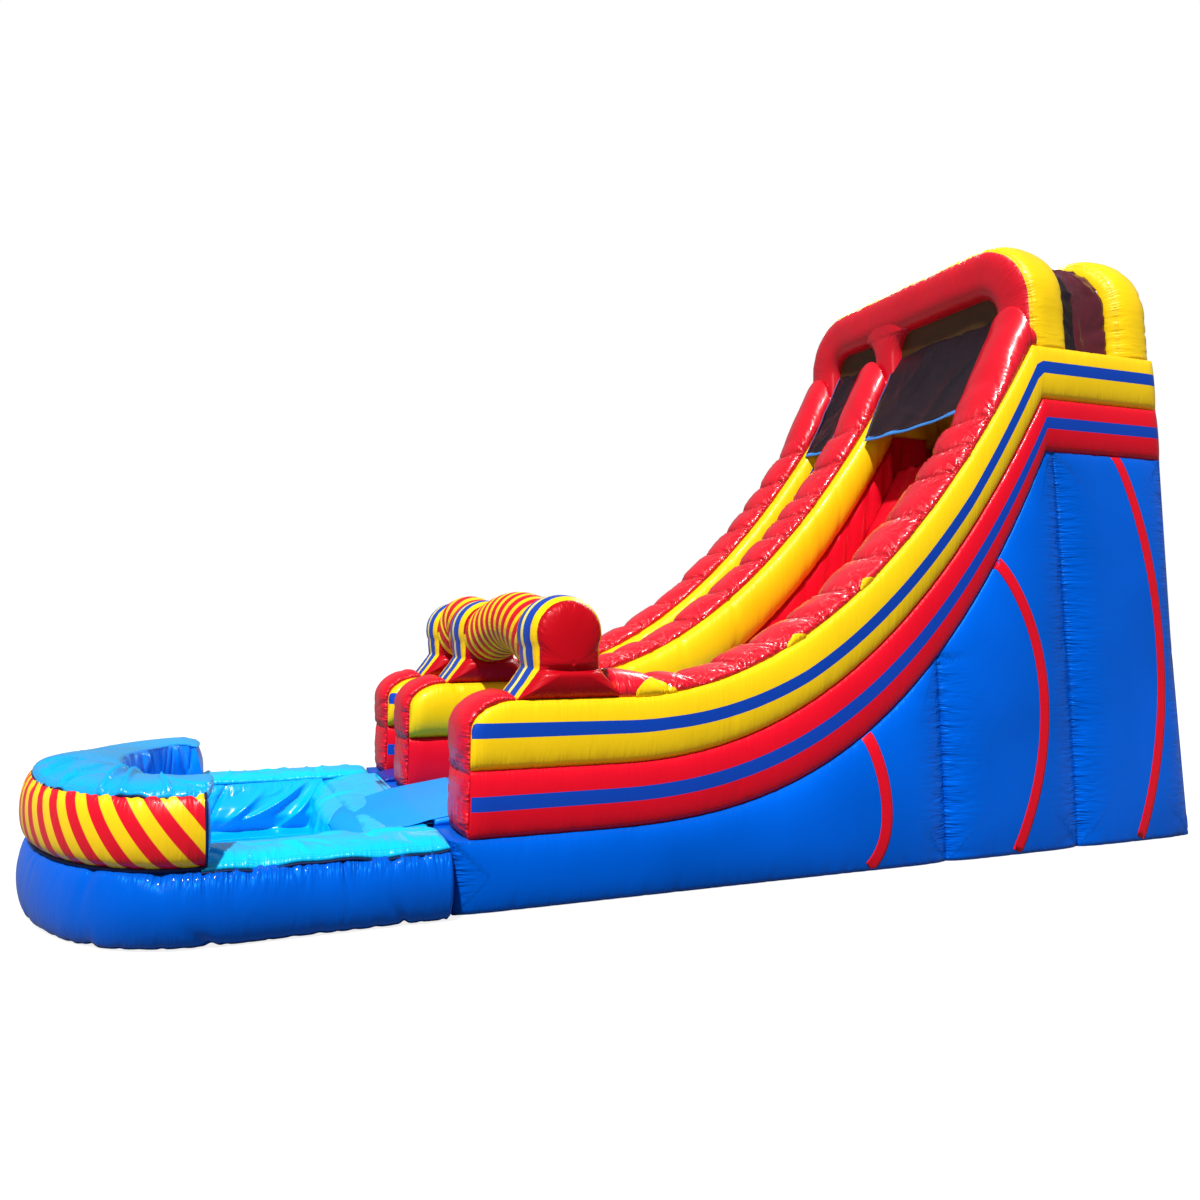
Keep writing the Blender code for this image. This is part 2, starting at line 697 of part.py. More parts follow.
def pool():
    slide = make_empty("pool_slide", (-POOL_GAP, POOL_MIDDLE_Y, 0.0), SITE)
    end = -POOL_GAP
    wall = (0.0, POOL_WALL_WIDTH)
    pool_ring_wall("pool_wall", wall, end, 0.0, POOL_WALL_HEIGHT, POOL_PUFF, ROYAL_BLUE, slide)
    arm = POOL_CENTRE_X + BUMPER_ARM_LENGTH
    pool_ring_wall("bumper_wall", wall, arm, BUMPER_BASE, BUMPER_TOP, POOL_PUFF, RED, slide)
    lining = (POOL_WALL_WIDTH + GAP, POOL_WALL_WIDTH + GAP + LINING_THICKNESS)
    pool_ring_wall("bumper_lining", lining, arm, BUMPER_BASE, BUMPER_TOP, 0.0, LIGHT_BLUE, slide)
    pool_crown("bumper_top", arm, BUMPER_TOP + GAP, BUMPER_TOP_CROWN, LIGHT_BLUE, slide)
    for name, sign in (("pool_rim_near", -1), ("pool_rim_far", 1)):
        outer = POOL_MIDDLE_Y + sign * POOL_HALF_WIDTH
        rings = [crown_ring((x, outer, BUMPER_BASE), (0, -sign, 0), (0, 0, 1), POOL_WALL_WIDTH, RIM_CROWN)
                 for x in (end, arm + GAP)]
        finish(loft(name, rings), LIGHT_BLUE, slide)
    pool_tray(slide)
    inside = POOL_MIDDLE_Y - POOL_HALF_WIDTH + POOL_WALL_WIDTH + GAP
    rear = block("pool_rear_wall", (POOL_REAR_INNER_X, inside, 0.0),
                 (end, 2 * POOL_MIDDLE_Y - inside, POOL_WALL_HEIGHT + REAR_WALL_RISE), REAR_WALL_ROUNDING)
    finish(rear, LIGHT_BLUE, slide)


def splash_apron():
    """The flap from the lanes onto the pool's rear wall, in front of the three walls."""
    inside = POOL_MIDDLE_Y - POOL_HALF_WIDTH + POOL_WALL_WIDTH + GAP
    near, far = inside, 2 * POOL_MIDDLE_Y - inside
    lip, wall_line = -GAP, -APRON_WALL_CLEARANCE
    clear = BED_SIDE_CLEARANCE
    radius = APRON_CORNER_RADIUS
    front = -APRON_REACH
    plan = [(wall_line, near), (wall_line, WALL_WIDTH + clear), (lip, WALL_WIDTH + clear),
            (lip, MIDDLE_WALL - clear), (wall_line, MIDDLE_WALL - clear),
            (wall_line, MIDDLE_WALL + WALL_WIDTH + clear), (lip, MIDDLE_WALL + WALL_WIDTH + clear),
            (lip, FAR_WALL - clear), (wall_line, FAR_WALL - clear), (wall_line, far),
            *arc((front + radius, far - radius), radius, 90, 180, 4),
            *arc((front + radius, near + radius), radius, 180, 270, 4)]
    low = POOL_WALL_HEIGHT + REAR_WALL_RISE + GAP
    item = outline("splash_apron", [plan], APRON_THICKNESS)
    item.location = (0.0, 0.0, low + APRON_THICKNESS / 2)
    return finish(item, LIGHT_BLUE, SITE, smooth=False)


# Fittings on the back

def anchor(number, y):
    """A steel ring, hinged on its straight bar in a webbing tab on the back."""
    x = BODY_LENGTH + RING_STANDOFF
    half = RING_WIDTH / 2
    bend = half - RING_WIRE_RADIUS
    line = [(0.0, across, -up) for across, up in arc((0.0, RING_WIRE_RADIUS), bend, 0, 180, RING_ARC_CELLS, half)]
    line = [(0.0, bend, 0.0), *line, (0.0, -bend, 0.0)]
    ring = tube(f"anchor_ring_{number}", line, RING_WIRE_RADIUS, closed=True, resolution=2)
    ring.location = (x, y, RING_HEIGHT)
    finish(ring, STEEL, SITE)
    bore = RING_WIRE_RADIUS + TAB_BORE_CLEARANCE
    wrap = bore + TAB_WRAP
    turn = (x, RING_HEIGHT)
    back = BODY_LENGTH + GAP
    line = [(back, RING_HEIGHT - wrap), (x, RING_HEIGHT - wrap), *arc(turn, wrap, -90, 90, 8)[1:],
            (back + TAB_WRAP, RING_HEIGHT + TAB_HEIGHT), (back, RING_HEIGHT + TAB_HEIGHT)]
    hole = arc(turn, bore, 0, 330, 11)
    tab = outline(f"anchor_tab_{number}", [line, hole], TAB_WIDTH)
    finish(stand_along_x(tab, y), WEBBING, SITE)


def deflation_zip():
    face = BODY_LENGTH + GAP
    y = ZIP_SIDE
    half = ZIP_TAPE_WIDTH / 2
    tape = block("zip_tape", (face, y - half, ZIP_BOTTOM), (face + ZIP_TAPE_THICKNESS, y + half, ZIP_TOP))
    finish(tape, WEBBING, SITE, smooth=False)
    low = face + ZIP_TAPE_THICKNESS + GAP
    pull = block("zip_slider", (0.0, -SLIDER_WIDTH / 2, -SLIDER_HEIGHT / 2),
                 (SLIDER_THICKNESS, SLIDER_WIDTH / 2, SLIDER_HEIGHT / 2), SLIDER_THICKNESS / 4, 2)
    pull.location = (low, y, ZIP_TOP - SLIDER_HEIGHT / 2)
    finish(pull, STEEL, SITE)
    hem = (face + COVER_STANDOFF, ZIP_TOP + COVER_OVERLAP)
    lip = hem[1] + COVER_HEM_RADIUS + GAP
    batten = block("cover_batten", (face, y - COVER_WIDTH / 2, lip),
                   (hem[0] + COVER_HEM_RADIUS, y + COVER_WIDTH / 2, lip + BATTEN_HEIGHT))
    finish(batten, ROYAL_BLUE, SITE, smooth=False)
    skin = COVER_THICKNESS / 2
    join = math.degrees(math.asin(skin / COVER_HEM_RADIUS))
    drop = -(ZIP_LENGTH + 2 * COVER_OVERLAP)
    line = [(skin, drop), *arc((0.0, 0.0), COVER_HEM_RADIUS, -90 + join, 270 - join, 14), (-skin, drop)]
    cover = outline("zip_cover", [line], COVER_WIDTH)
    cover.rotation_euler = (math.pi / 2, 0.0, 0.0)
    cover.location = (hem[0], y, hem[1])
    finish(cover, ROYAL_BLUE, SITE)


def blower_sleeve():
    circle = [arc((SLEEVE_SIDE, SLEEVE_HEIGHT), radius, 0, 360 * (1 - 1 / SLEEVE_SIDES), SLEEVE_SIDES - 1)
              for radius in (SLEEVE_RADIUS, SLEEVE_RADIUS - SLEEVE_WALL)]
    item = outline("blower_sleeve", circle, SLEEVE_LENGTH)
    return finish(stand_along_y(item, BODY_LENGTH + GAP + SLEEVE_LENGTH / 2), ROYAL_BLUE, SITE)


def centre_on_origin():
    """Move the site so that the whole object is centred over the world's origin."""
    bpy.context.view_layer.update()
    view = bpy.context.evaluated_depsgraph_get()
    corners = []
    for item in PARTS.objects:
        if item.type == "EMPTY":
            continue
        mesh = item.evaluated_get(view).to_mesh()
        corners += [item.matrix_world @ vertex.co for vertex in mesh.vertices]
        item.evaluated_get(view).to_mesh_clear()
    for axis in (0, 1):
        values = [corner[axis] for corner in corners]
        SITE.location[axis] = -(min(values) + max(values)) / 2


clear_scene()
PARTS = make_collection(OBJECT_NAME)
SITE = make_empty("site", (0.0, 0.0, 0.0))

ROYAL_BLUE = vinyl("royal_blue_vinyl", (0.003, 0.110, 0.560))
STRIPE_BLUE = vinyl("blue_webbing", (0.020, 0.200, 0.700), 0.6)
RED = vinyl("red_vinyl", (0.720, 0.008, 0.018))
YELLOW = vinyl("yellow_vinyl", (0.950, 0.620, 0.020))
LIGHT_BLUE = vinyl("light_blue_vinyl", (0.003, 0.380, 0.780), 0.2)
DARK_MESH = vinyl("dark_mesh", (0.015, 0.010, 0.014), 0.8)
WEBBING = vinyl("black_webbing", (0.012, 0.012, 0.014), 0.8)
STEEL = vinyl("steel", (0.60, 0.60, 0.62), 0.25, 1.0)

BASE_LINE = Edge(BASE_FRONT_HEIGHT, BASE_TOWER_HEIGHT, BASE_CURVE_START, RUN_LENGTH, BASE_CURVE_POWER)
RED_LINE = Edge(RED_TOP_FRONT, RED_TOP_TOWER, RED_CURVE_START, RUN_LENGTH, RED_CURVE_POWER)
YELLOW_LINE = Edge(YELLOW_TOP_FRONT, YELLOW_TOP_TOWER, YELLOW_CURVE_START, YELLOW_CORNER, YELLOW_CURVE_POWER)

base_chamber("base_front", 0.0, BASE_FRONT_SEAM - GAP)
base_chamber("base_middle", BASE_FRONT_SEAM, BASE_REAR_SEAM - GAP)
base_chamber("base_rear", BASE_REAR_SEAM, BODY_LENGTH)

WALLS = (("near", NEAR_WALL, BODY_LENGTH, (False, True)),
         ("middle", MIDDLE_WALL, HEADER_BACK, (True, True)),
         ("far", FAR_WALL, BODY_LENGTH, (True, False)))
for label, side, stop, lane_faces in WALLS:
    wall_chamber(f"{label}_wall_red", side, stop, BASE_LINE.at, RED_LINE.at, lane_faces, RED)
    wall_chamber(f"{label}_wall_yellow", side, stop, RED_LINE.at, yellow_top, lane_faces, YELLOW)
    front_cap(f"{label}_wall_cap", side)
    bolster(f"{label}_wall_bolster", side)
    column(f"{label}_column", side)

SLIDE_LANE = (WALL_WIDTH + BED_SIDE_CLEARANCE, MIDDLE_WALL - BED_SIDE_CLEARANCE)
CLIMB_LANE = (MIDDLE_WALL + WALL_WIDTH + BED_SIDE_CLEARANCE, FAR_WALL - BED_SIDE_CLEARANCE)
lane_bed("slide_bed", *SLIDE_LANE, LIGHT_BLUE)
lane_bed("climb_bed", *CLIMB_LANE, ROYAL_BLUE)
for number in range(STEP_COUNT):
    climb_step(number + 1, CELLS_BELOW_STEPS + number * CELLS_PER_STEP, *CLIMB_LANE)
platform_deck()
back_wall("back_wall_red", BASE_TOWER_HEIGHT, RED_TOP_TOWER, RED)
back_wall("back_wall_yellow", RED_TOP_TOWER, YELLOW_TOP_TOWER, YELLOW)

header()
rear_arch()
roof_mesh()
WINDOW_FOOT = DOORWAY_TOP - WINDOW_MESH_HEIGHT
opening_mesh("slide_window_mesh", WALL_WIDTH, MIDDLE_WALL, WINDOW_FOOT, HEADER_FRONT + HEADER_DEPTH / 2)
opening_mesh("climb_window_mesh", MIDDLE_WALL + WALL_WIDTH, FAR_WALL, WINDOW_FOOT, HEADER_FRONT + HEADER_DEPTH / 2)
opening_mesh("rear_mesh", REAR_ARCH_LEG_WIDTH, BODY_WIDTH - REAR_ARCH_LEG_WIDTH,
             YELLOW_TOP_TOWER + GAP, REAR_ARCH_FRONT + HEADER_DEPTH / 2)
lane_net("slide_net", WALL_WIDTH, MIDDLE_WALL)
lane_net("climb_net", MIDDLE_WALL + WALL_WIDTH, FAR_WALL)

COLUMN_FACE = WALL_WIDTH - COLUMN_INSET
striped_tube("slide_lane_tube", COLUMN_FACE, MIDDLE_WALL + COLUMN_INSET)
striped_tube("climb_lane_tube", MIDDLE_WALL + COLUMN_FACE, FAR_WALL + COLUMN_INSET)

pool()
splash_apron()
anchor(1, RING_SIDE_INSET)
anchor(2, BODY_WIDTH - RING_SIDE_INSET)
deflation_zip()
blower_sleeve()
centre_on_origin()
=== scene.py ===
"""Looks of the inflatable water slide: puffed vinyl chambers, seams, stripes, nets and fittings.

Points are worked out in the slide's own frame: origin at the front near ground corner of the slide,
+X to the tower, +Y to the far side, +Z up. SHIFT takes them to the part's frame. Lengths are metres.
"""
import json
import math

import bmesh
import bpy
import numpy as np
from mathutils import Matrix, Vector
from mathutils.bvhtree import BVHTree


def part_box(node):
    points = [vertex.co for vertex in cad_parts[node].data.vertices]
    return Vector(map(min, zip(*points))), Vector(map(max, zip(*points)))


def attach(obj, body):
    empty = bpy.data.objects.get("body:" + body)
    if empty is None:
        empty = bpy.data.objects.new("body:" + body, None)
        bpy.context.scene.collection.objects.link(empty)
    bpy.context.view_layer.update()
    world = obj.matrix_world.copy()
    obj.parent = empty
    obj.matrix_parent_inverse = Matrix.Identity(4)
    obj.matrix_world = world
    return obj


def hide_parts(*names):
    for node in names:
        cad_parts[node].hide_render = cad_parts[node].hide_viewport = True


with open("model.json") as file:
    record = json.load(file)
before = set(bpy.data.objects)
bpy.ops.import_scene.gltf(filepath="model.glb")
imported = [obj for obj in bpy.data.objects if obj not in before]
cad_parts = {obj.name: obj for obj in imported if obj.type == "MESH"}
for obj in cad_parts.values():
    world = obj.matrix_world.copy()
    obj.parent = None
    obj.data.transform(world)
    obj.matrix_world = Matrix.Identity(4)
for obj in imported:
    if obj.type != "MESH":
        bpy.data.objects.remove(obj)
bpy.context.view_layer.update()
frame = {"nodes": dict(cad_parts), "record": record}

# Sizes of the slide, as in its solids

RUN_LENGTH = 5.05
BODY_LENGTH = 6.40
WALL = 0.48
NEAR, MIDDLE, FAR = 0.0, 1.97, 2.96
WIDTH = 3.44
SEAMS = (3.81, 5.14)
TOWER_BACK_FRONT = 5.96
HEADER_FRONT = 5.03
HEADER_BACK = 5.47
HEADER_TOP = 5.26
DOORWAY_TOP = 4.75
HEADER_RADIUS = 0.68
WALL_FRONT = 0.10
ROUND_LENGTH = 0.29
ROUND_HEIGHT = 0.19
ROUND_END = WALL_FRONT + ROUND_LENGTH
YELLOW_CORNER = 4.98
BASE_FRONT, RED_FRONT, YELLOW_FRONT = 0.44, 0.86, 1.29
BASE_TOWER, RED_TOWER, YELLOW_TOWER = 3.23, 3.69, 4.15
BED_THICKNESS = 0.12
BED_INSET = 0.04
POOL_HEIGHT = 0.42
POOL_WIDTH = 0.50
POOL_NEAR_X = -0.05
POOL_CENTRE_X = -1.50
POOL_MIDDLE_Y = 1.72
POOL_HALF = 1.78
POOL_ROUND = 1.01
BUMPER_TOP = 0.82
ARM_X = -1.44
COLUMN_X = 0.772
HEAD_Z = 1.72
ZIP_Y = 0.80
RING_Z = 0.14
RING_INSET = 0.30
SLEEVE_Y, SLEEVE_Z = 2.35, 0.34
GAP = 0.0003

WALLS = (("near", NEAR), ("middle", MIDDLE), ("far", FAR))
ACROSS = np.array([0.0, 1.0, 0.0])

low_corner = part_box("back_wall_red")[0]
SHIFT = np.array([low_corner.x - TOWER_BACK_FRONT, low_corner.y - WALL - GAP, 0.0])

BODY_OF = {node: body for body, nodes in frame["record"]["behaviour"]["bodies"].items() for node in nodes}


# Shares, lines and grids

def clamp(value):
    return np.clip(value, 0.0, 1.0)


def smooth_step(value):
    share = clamp(value)
    return share * share * (3 - 2 * share)


def bell(distance, width, power=2.0):
    return np.exp(-np.abs(distance / width) ** power)


def eased(count):
    """Shares from nothing to one that lie closer at both ends."""
    return 0.5 - 0.5 * np.cos(np.linspace(0, math.pi, count))


def circle(count):
    return np.linspace(0, 2 * math.pi, count, endpoint=False)


def stack(*parts):
    """Arrays and numbers, spread to one shape, side by side on a last axis."""
    return np.stack(np.broadcast_arrays(*parts), axis=-1)


def spread(line, row):
    """A value for each point of a line, repeated along a row."""
    return line[:, None] + 0 * row


def edge_share(share):
    """Share of the way in from the nearer of two edges."""
    return np.minimum(share, 1 - share)


def cross_grid(first, second):
    return np.meshgrid(first, second, indexing="ij")


def travel(line):
    """Distance along a line of points, from its start."""
    return np.concatenate([[0.0], np.cumsum(np.linalg.norm(np.diff(line, axis=0), axis=1))])


def swell(share, power=2.0, root=2.0):
    """Puff of an air chamber between two seams, nothing at either and one half way."""
    return clamp(1 - np.abs(2 * np.asarray(share, float) - 1) ** power) ** (1 / root)


def near_end(place, start, stop, reach):
    """One inside a stretch, and falling in a quarter round to nothing at its ends."""
    depth = clamp(np.minimum(place - start, stop - place) / reach)
    return np.sqrt(clamp(1 - (1 - depth) ** 2))


def climb(low, high, start, stop, power):
    """Edge line of a band, which rises from the front to the tower."""
    return lambda x: low + (high - low) * clamp((np.asarray(x, float) - start) / (stop - start)) ** power


base_line = climb(BASE_FRONT, BASE_TOWER, 0.90, RUN_LENGTH, 2.65)
red_line = climb(RED_FRONT, RED_TOWER, 1.10, RUN_LENGTH, 2.2)
yellow_line = climb(YELLOW_FRONT, YELLOW_TOWER, 1.20, YELLOW_CORNER, 2.0)


def yellow_top(x):
    """The yellow band's top, rounded off at its front."""
    x = np.asarray(x, float)
    share = clamp((ROUND_END - x) / ROUND_LENGTH)
    drop = ROUND_HEIGHT * (1 - np.sqrt(1 - share ** 2))
    return np.where(x < ROUND_END, YELLOW_FRONT - drop, yellow_line(x))


# Materials

def linear(*colour):
    """A colour of 0 to 255 a channel, as light."""
    shares = np.array(colour) / 255
    light = np.where(shares <= 0.04045, shares / 12.92, ((shares + 0.055) / 1.055) ** 2.4)
    return (*light.tolist(), 1.0)


class Graph:
    """A new material and its shader nodes."""

    def __init__(self, name):
        self.material = bpy.data.materials.new(name)
        self.material.use_nodes = True
        self.tree = self.material.node_tree
        self.shader = self.tree.nodes["Principled BSDF"]
        self.place = self.add("ShaderNodeTexCoord").outputs["Object"]

    def add(self, kind, settings=None, **inputs):
        node = self.tree.nodes.new(kind)
        for key, value in (settings or {}).items():
            setattr(node, key, value)
        for key, value in inputs.items():
            self.put(node.inputs[int(key[1:]) if key.startswith("i") else key.replace("_", " ")], value)
        return node

    def put(self, socket, value):
        if isinstance(value, bpy.types.NodeSocket):
            self.tree.links.new(value, socket)
        else:
            socket.default_value = value

    def math(self, operation, *values, clamp=False):
        inputs = {f"i{number}": value for number, value in enumerate(values)}
        return self.add("ShaderNodeMath", {"operation": operation, "use_clamp": clamp}, **inputs).outputs[0]

    def times(self, first, second):
        return self.math("MULTIPLY", first, second)

    def ramp(self, value, factor, extra, clamp=False):
        return self.math("MULTIPLY_ADD", value, factor, extra, clamp=clamp)

    def off(self, value, middle):
        return self.math("ABSOLUTE", self.math("SUBTRACT", value, middle))

    def attribute(self, name, output):
        return self.add("ShaderNodeAttribute", {"attribute_name": name}).outputs[output]

    def noise(self, scale, detail=2.0, roughness=0.5, vector=None):
        place = self.place if vector is None else vector
        return self.add("ShaderNodeTexNoise", None, Vector=place, Scale=scale, Detail=detail,
                        Roughness=roughness).outputs["Fac"]

    def mix(self, share, first, second):
        return self.add("ShaderNodeMix", {"data_type": "RGBA"}, i0=share, i6=first, i7=second).outputs[2]

    def shade(self, colour, share):
        return self.add("ShaderNodeVectorMath", {"operation": "SCALE"}, i0=colour[:3], Scale=share).outputs[0]

    def bump(self, height, strength, distance):
        return self.add("ShaderNodeBump", None, Strength=strength, Distance=distance, Height=height).outputs[0]

    def finish(self, **inputs):
        for name, value in inputs.items():
            self.put(self.shader.inputs[name.replace("_", " ")], value)
        return self.material


STITCH_ROWS = (0.011, 0.020)
STITCH_HALF = 0.0016
STITCH_PACE, STITCH_GAP = 700.0, -0.35
EULER = 2.718
# Creases at a seam: how many to a metre, how sharp, how soon they fade and how strong.
CREASES = ((13.0, 7.0, -8.0, 0.9), (31.0, 6.0, -16.0, 0.8))


def seam_height(graph, wrinkle):
    """Fine creases that start at a seam, and the two rows of stitches beside it."""
    mark = graph.attribute("seam", "Vector")
    along, away, amount = graph.add("ShaderNodeSeparateXYZ", None, Vector=mark).outputs
    creases = 0.0
    for pitch, steep, fading, share in CREASES:
        place = graph.add("ShaderNodeCombineXYZ", None, X=graph.times(along, pitch), Y=graph.times(away, 3.0),
                          Z=pitch)
        ridge = graph.off(graph.noise(1.0, vector=place.outputs[0]), 0.5)
        crease = graph.math("SUBTRACT", 1.0, graph.times(ridge, steep), clamp=True)
        fade = graph.math("POWER", EULER, graph.times(away, fading))
        creases = graph.ramp(graph.times(crease, fade), graph.times(amount, -wrinkle * share), creases)
    rows = (graph.math("LESS_THAN", graph.off(away, row), STITCH_HALF) for row in STITCH_ROWS)
    line = graph.math("ADD", *rows)
    dash = graph.math("GREATER_THAN", graph.math("SINE", graph.times(along, STITCH_PACE)), STITCH_GAP)
    return creases, graph.times(line, dash), line


def vinyl(name, colour, wrinkle=0.5, slack=0.10, roughness=0.34, coat=0.05, mottle=0.20, coat_roughness=0.09,
          gloss=(1.0, 1.0, 1.0, 1.0), second=None):
    """Coated vinyl with a faint weave, slack ripples and seam creases. A second colour makes stripes."""
    graph = Graph(name)
    creases, stitches, line = seam_height(graph, wrinkle)
    cloud = graph.noise(1.7, 3.0, 0.55)
    shade = graph.ramp(graph.noise(0.75), mottle, graph.ramp(cloud, 0.20, 0.90 - mottle / 2))
    thread = [min(channel * 0.55 + 0.01, 1.0) for channel in colour[:3]] + [1.0]
    look = graph.mix(graph.times(stitches, 0.7), graph.shade(colour, shade), thread)
    if second:
        wave = graph.off(graph.math("FRACT", graph.attribute("stripe", "Fac")), 0.5)
        share = graph.ramp(graph.math("SUBTRACT", wave, 0.25), 1 / 0.03, 0.5, clamp=True)
        look = graph.mix(share, look, graph.shade(second, graph.ramp(cloud, 0.20, 0.90)))
    height = creases
    ripple, weave = graph.noise(4.5, 2.0, 0.45), graph.noise(420.0, 1.0)
    for layer, depth in ((ripple, slack), (weave, 0.012), (line, -0.05), (stitches, 0.06)):
        height = graph.ramp(layer, depth, height)
    return graph.finish(Base_Color=look, Normal=graph.bump(height, 0.55, 0.02), Specular_IOR_Level=0.25,
                        Roughness=graph.ramp(cloud, 0.16, roughness - 0.08), Specular_Tint=gloss,
                        Coat_Weight=coat, Coat_Roughness=coat_roughness)


def mesh_fabric(name, colour, opacity, roughness=0.45):
    """Netting seen from a distance: a dark see-through cloth, with fine noise in how much it covers and in its
    surface.
    """
    graph = Graph(name)
    fine = graph.noise(260.0, 1.0)
    height = graph.ramp(fine, 0.05, graph.times(graph.noise(4.0, 3.0), 0.6))
    shade = graph.ramp(graph.noise(2.2, 3.0, 0.6), 0.9, 0.55)
    return graph.finish(Base_Color=graph.shade(colour, shade), Normal=graph.bump(height, 0.6, 0.02),
                        Alpha=graph.ramp(fine, 0.16, opacity - 0.08, clamp=True), Roughness=roughness)


def webbing(name, colour):
    """Woven strap: ribs across it and a little sheen."""
    graph = Graph(name)
    ribs = graph.add("ShaderNodeTexWave", {"wave_type": "BANDS", "bands_direction": "DIAGONAL"},
                     Vector=graph.place, Scale=110.0, Distortion=1.5, Detail=1.0).outputs["Fac"]
    shade = graph.ramp(ribs, 0.25, graph.ramp(graph.noise(9.0), 0.2, 0.75))
    return graph.finish(Base_Color=graph.shade(colour, shade), Normal=graph.bump(ribs, 0.5, 0.0015),
                        Roughness=0.6, Sheen_Weight=0.2)


def metal(name, colour):
    """Zinc-plated steel with fine scratches."""
    graph = Graph(name)
    scratches = graph.noise(160.0, 4.0, 0.6)
    return graph.finish(Base_Color=graph.shade(colour, graph.ramp(scratches, 0.3, 0.85)), Metallic=1.0,
                        Roughness=graph.ramp(scratches, 0.25, 0.15), Normal=graph.bump(scratches, 0.2, 0.0005))


RED_COLOUR = (0.72, 0.004, 0.018, 1.0)
# A darker red, used on the columns' faces so that they come out darker than the walls' red.
DARKER_RED_COLOUR = (0.48, 0.002, 0.008, 1.0)
YELLOW_COLOUR = (0.96, 0.62, 0.006, 1.0)
ROYAL_COLOUR = (0.0, 0.098, 0.60, 1.0)
RED_GLOSS = (1.0, 0.30, 0.32, 1.0)
YELLOW_GLOSS = (1.0, 0.86, 0.45, 1.0)
BLUE_GLOSS = (0.0, 0.45, 1.0, 1.0)

RED = vinyl("red_vinyl_look", RED_COLOUR, gloss=RED_GLOSS)
RED_SOFT = vinyl("red_pleated_vinyl", RED_COLOUR, 0.8, 0.10, 0.33, 0.55, 0.15, 0.14)
RED_CAP = vinyl("red_cap_vinyl", RED_COLOUR, 1.5, 0.12, 0.36, 0.14, 0.25, 0.15)
RED_DARKER = vinyl("darker_red_vinyl", DARKER_RED_COLOUR, 0.8, 0.10, 0.34, 0.06, gloss=RED_GLOSS)
# Painted shadow: the dark blue of the beads laid along the pool's seams, where shadow lines fall.
SEAM_SHADOW_BLUE = vinyl("seam_shadow_vinyl", linear(4, 22, 74), 0.2, 0.05, 0.6, 0.0)
YELLOW = vinyl("yellow_vinyl_look", YELLOW_COLOUR, gloss=YELLOW_GLOSS)
PALE = vinyl("pale_yellow_vinyl", linear(250, 232, 120), 0.3, 0.1)
ROYAL = vinyl("royal_blue_vinyl_look", ROYAL_COLOUR, 0.9, coat=0.08, mottle=0.75, gloss=BLUE_GLOSS)
BASE_BLUE = vinyl("base_blue_vinyl", ROYAL_COLOUR, 0.9, coat=0.0, mottle=0.75, gloss=BLUE_GLOSS)
STRIPE = vinyl("stripe_blue_vinyl", (0.0, 0.050, 0.42, 1.0), 0.3)
AQUA = vinyl("light_blue_vinyl_look", (0.0, 0.52, 0.92, 1.0), 0.5, 0.16, 0.26, 0.30)
EXIT_BLUE = vinyl("lane_blue_vinyl", (0.0, 0.29, 0.96, 1.0), 0.4, 0.16, 0.50, 0.0)
COVER_BLUE = vinyl("cover_blue_vinyl", (0.0, 0.38, 0.82, 1.0), 0.9, 0.10, 0.26, 0.30, 0.4)
BASIN_BLUE = vinyl("basin_blue_vinyl", (0.0, 0.40, 0.90, 1.0), 0.5, 0.14, 0.26, 0.30, 0.5)
# Painted shade: a darker copy of the light blue vinyl, for the bumper's inner skin and the arms' end faces.
AQUA_IN_SHADE = vinyl("shaded_aqua_vinyl", (0.0, 0.24, 0.90, 1.0), 0.5, 0.16, 0.28, 0.25)
NAVY = vinyl("climbing_bed_vinyl", linear(8, 44, 150), 0.5)
BUMPER = vinyl("bumper_striped_vinyl", YELLOW_COLOUR, 0.45, 0.2, second=RED_COLOUR)
NET = mesh_fabric("net_look", linear(26, 14, 24), 0.80, 0.36)
WINDOW = mesh_fabric("window_mesh_look", linear(82, 54, 12), 0.66)
ROOF = mesh_fabric("roof_mesh_look", linear(86, 26, 38), 0.98, 0.22)
BLUE_WEB = webbing("light_blue_webbing", linear(40, 140, 230))
NAVY_WEB = webbing("navy_webbing", linear(20, 34, 110))
BLACK_WEB = webbing("black_webbing_look", linear(26, 26, 30))
STEEL = metal("steel_look", linear(200, 200, 205))


# Mesh building

def unit(vectors):
    return vectors / np.maximum(np.linalg.norm(vectors, axis=-1, keepdims=True), 1e-9)


def slopes(points, axis, wrap=False):
    if wrap:
        return np.roll(points, -1, axis) - np.roll(points, 1, axis)
    return np.gradient(points, axis=axis)


def normals(points, guide=None, wrap=False):
    """Unit normals of a grid of points, on the side that the guide points to."""
    normal = unit(np.cross(slopes(points, 0), slopes(points, 1, wrap)))
    return -normal if guide is not None and (normal * guide).sum() < 0 else normal


def outward(rings):
    return normals(rings, rings - rings.mean(axis=1, keepdims=True), True)


def pleats(along, away, length, seed, spacing=0.08, depth=0.007, width=0.012, reach=0.10, lean=0.2):
    """Short creases that start at a seam and die out away from it."""
    random = np.random.default_rng(seed)
    count = max(int(length / spacing), 1)
    field = np.zeros(np.broadcast(along, away).shape)
    for number in range(count):
        centre = (number + random.uniform(0.1, 0.9)) * length / count
        size = depth * random.uniform(0.25, 1.0)
        span = reach * random.uniform(0.35, 1.3)
        tilt = random.normal(0.0, lean)
        spread = width * random.uniform(0.7, 1.5) * (1 + 0.7 * away / span)
        field -= size * bell(away, span, 1.4) * bell(along - centre - tilt * away, spread)
    return field


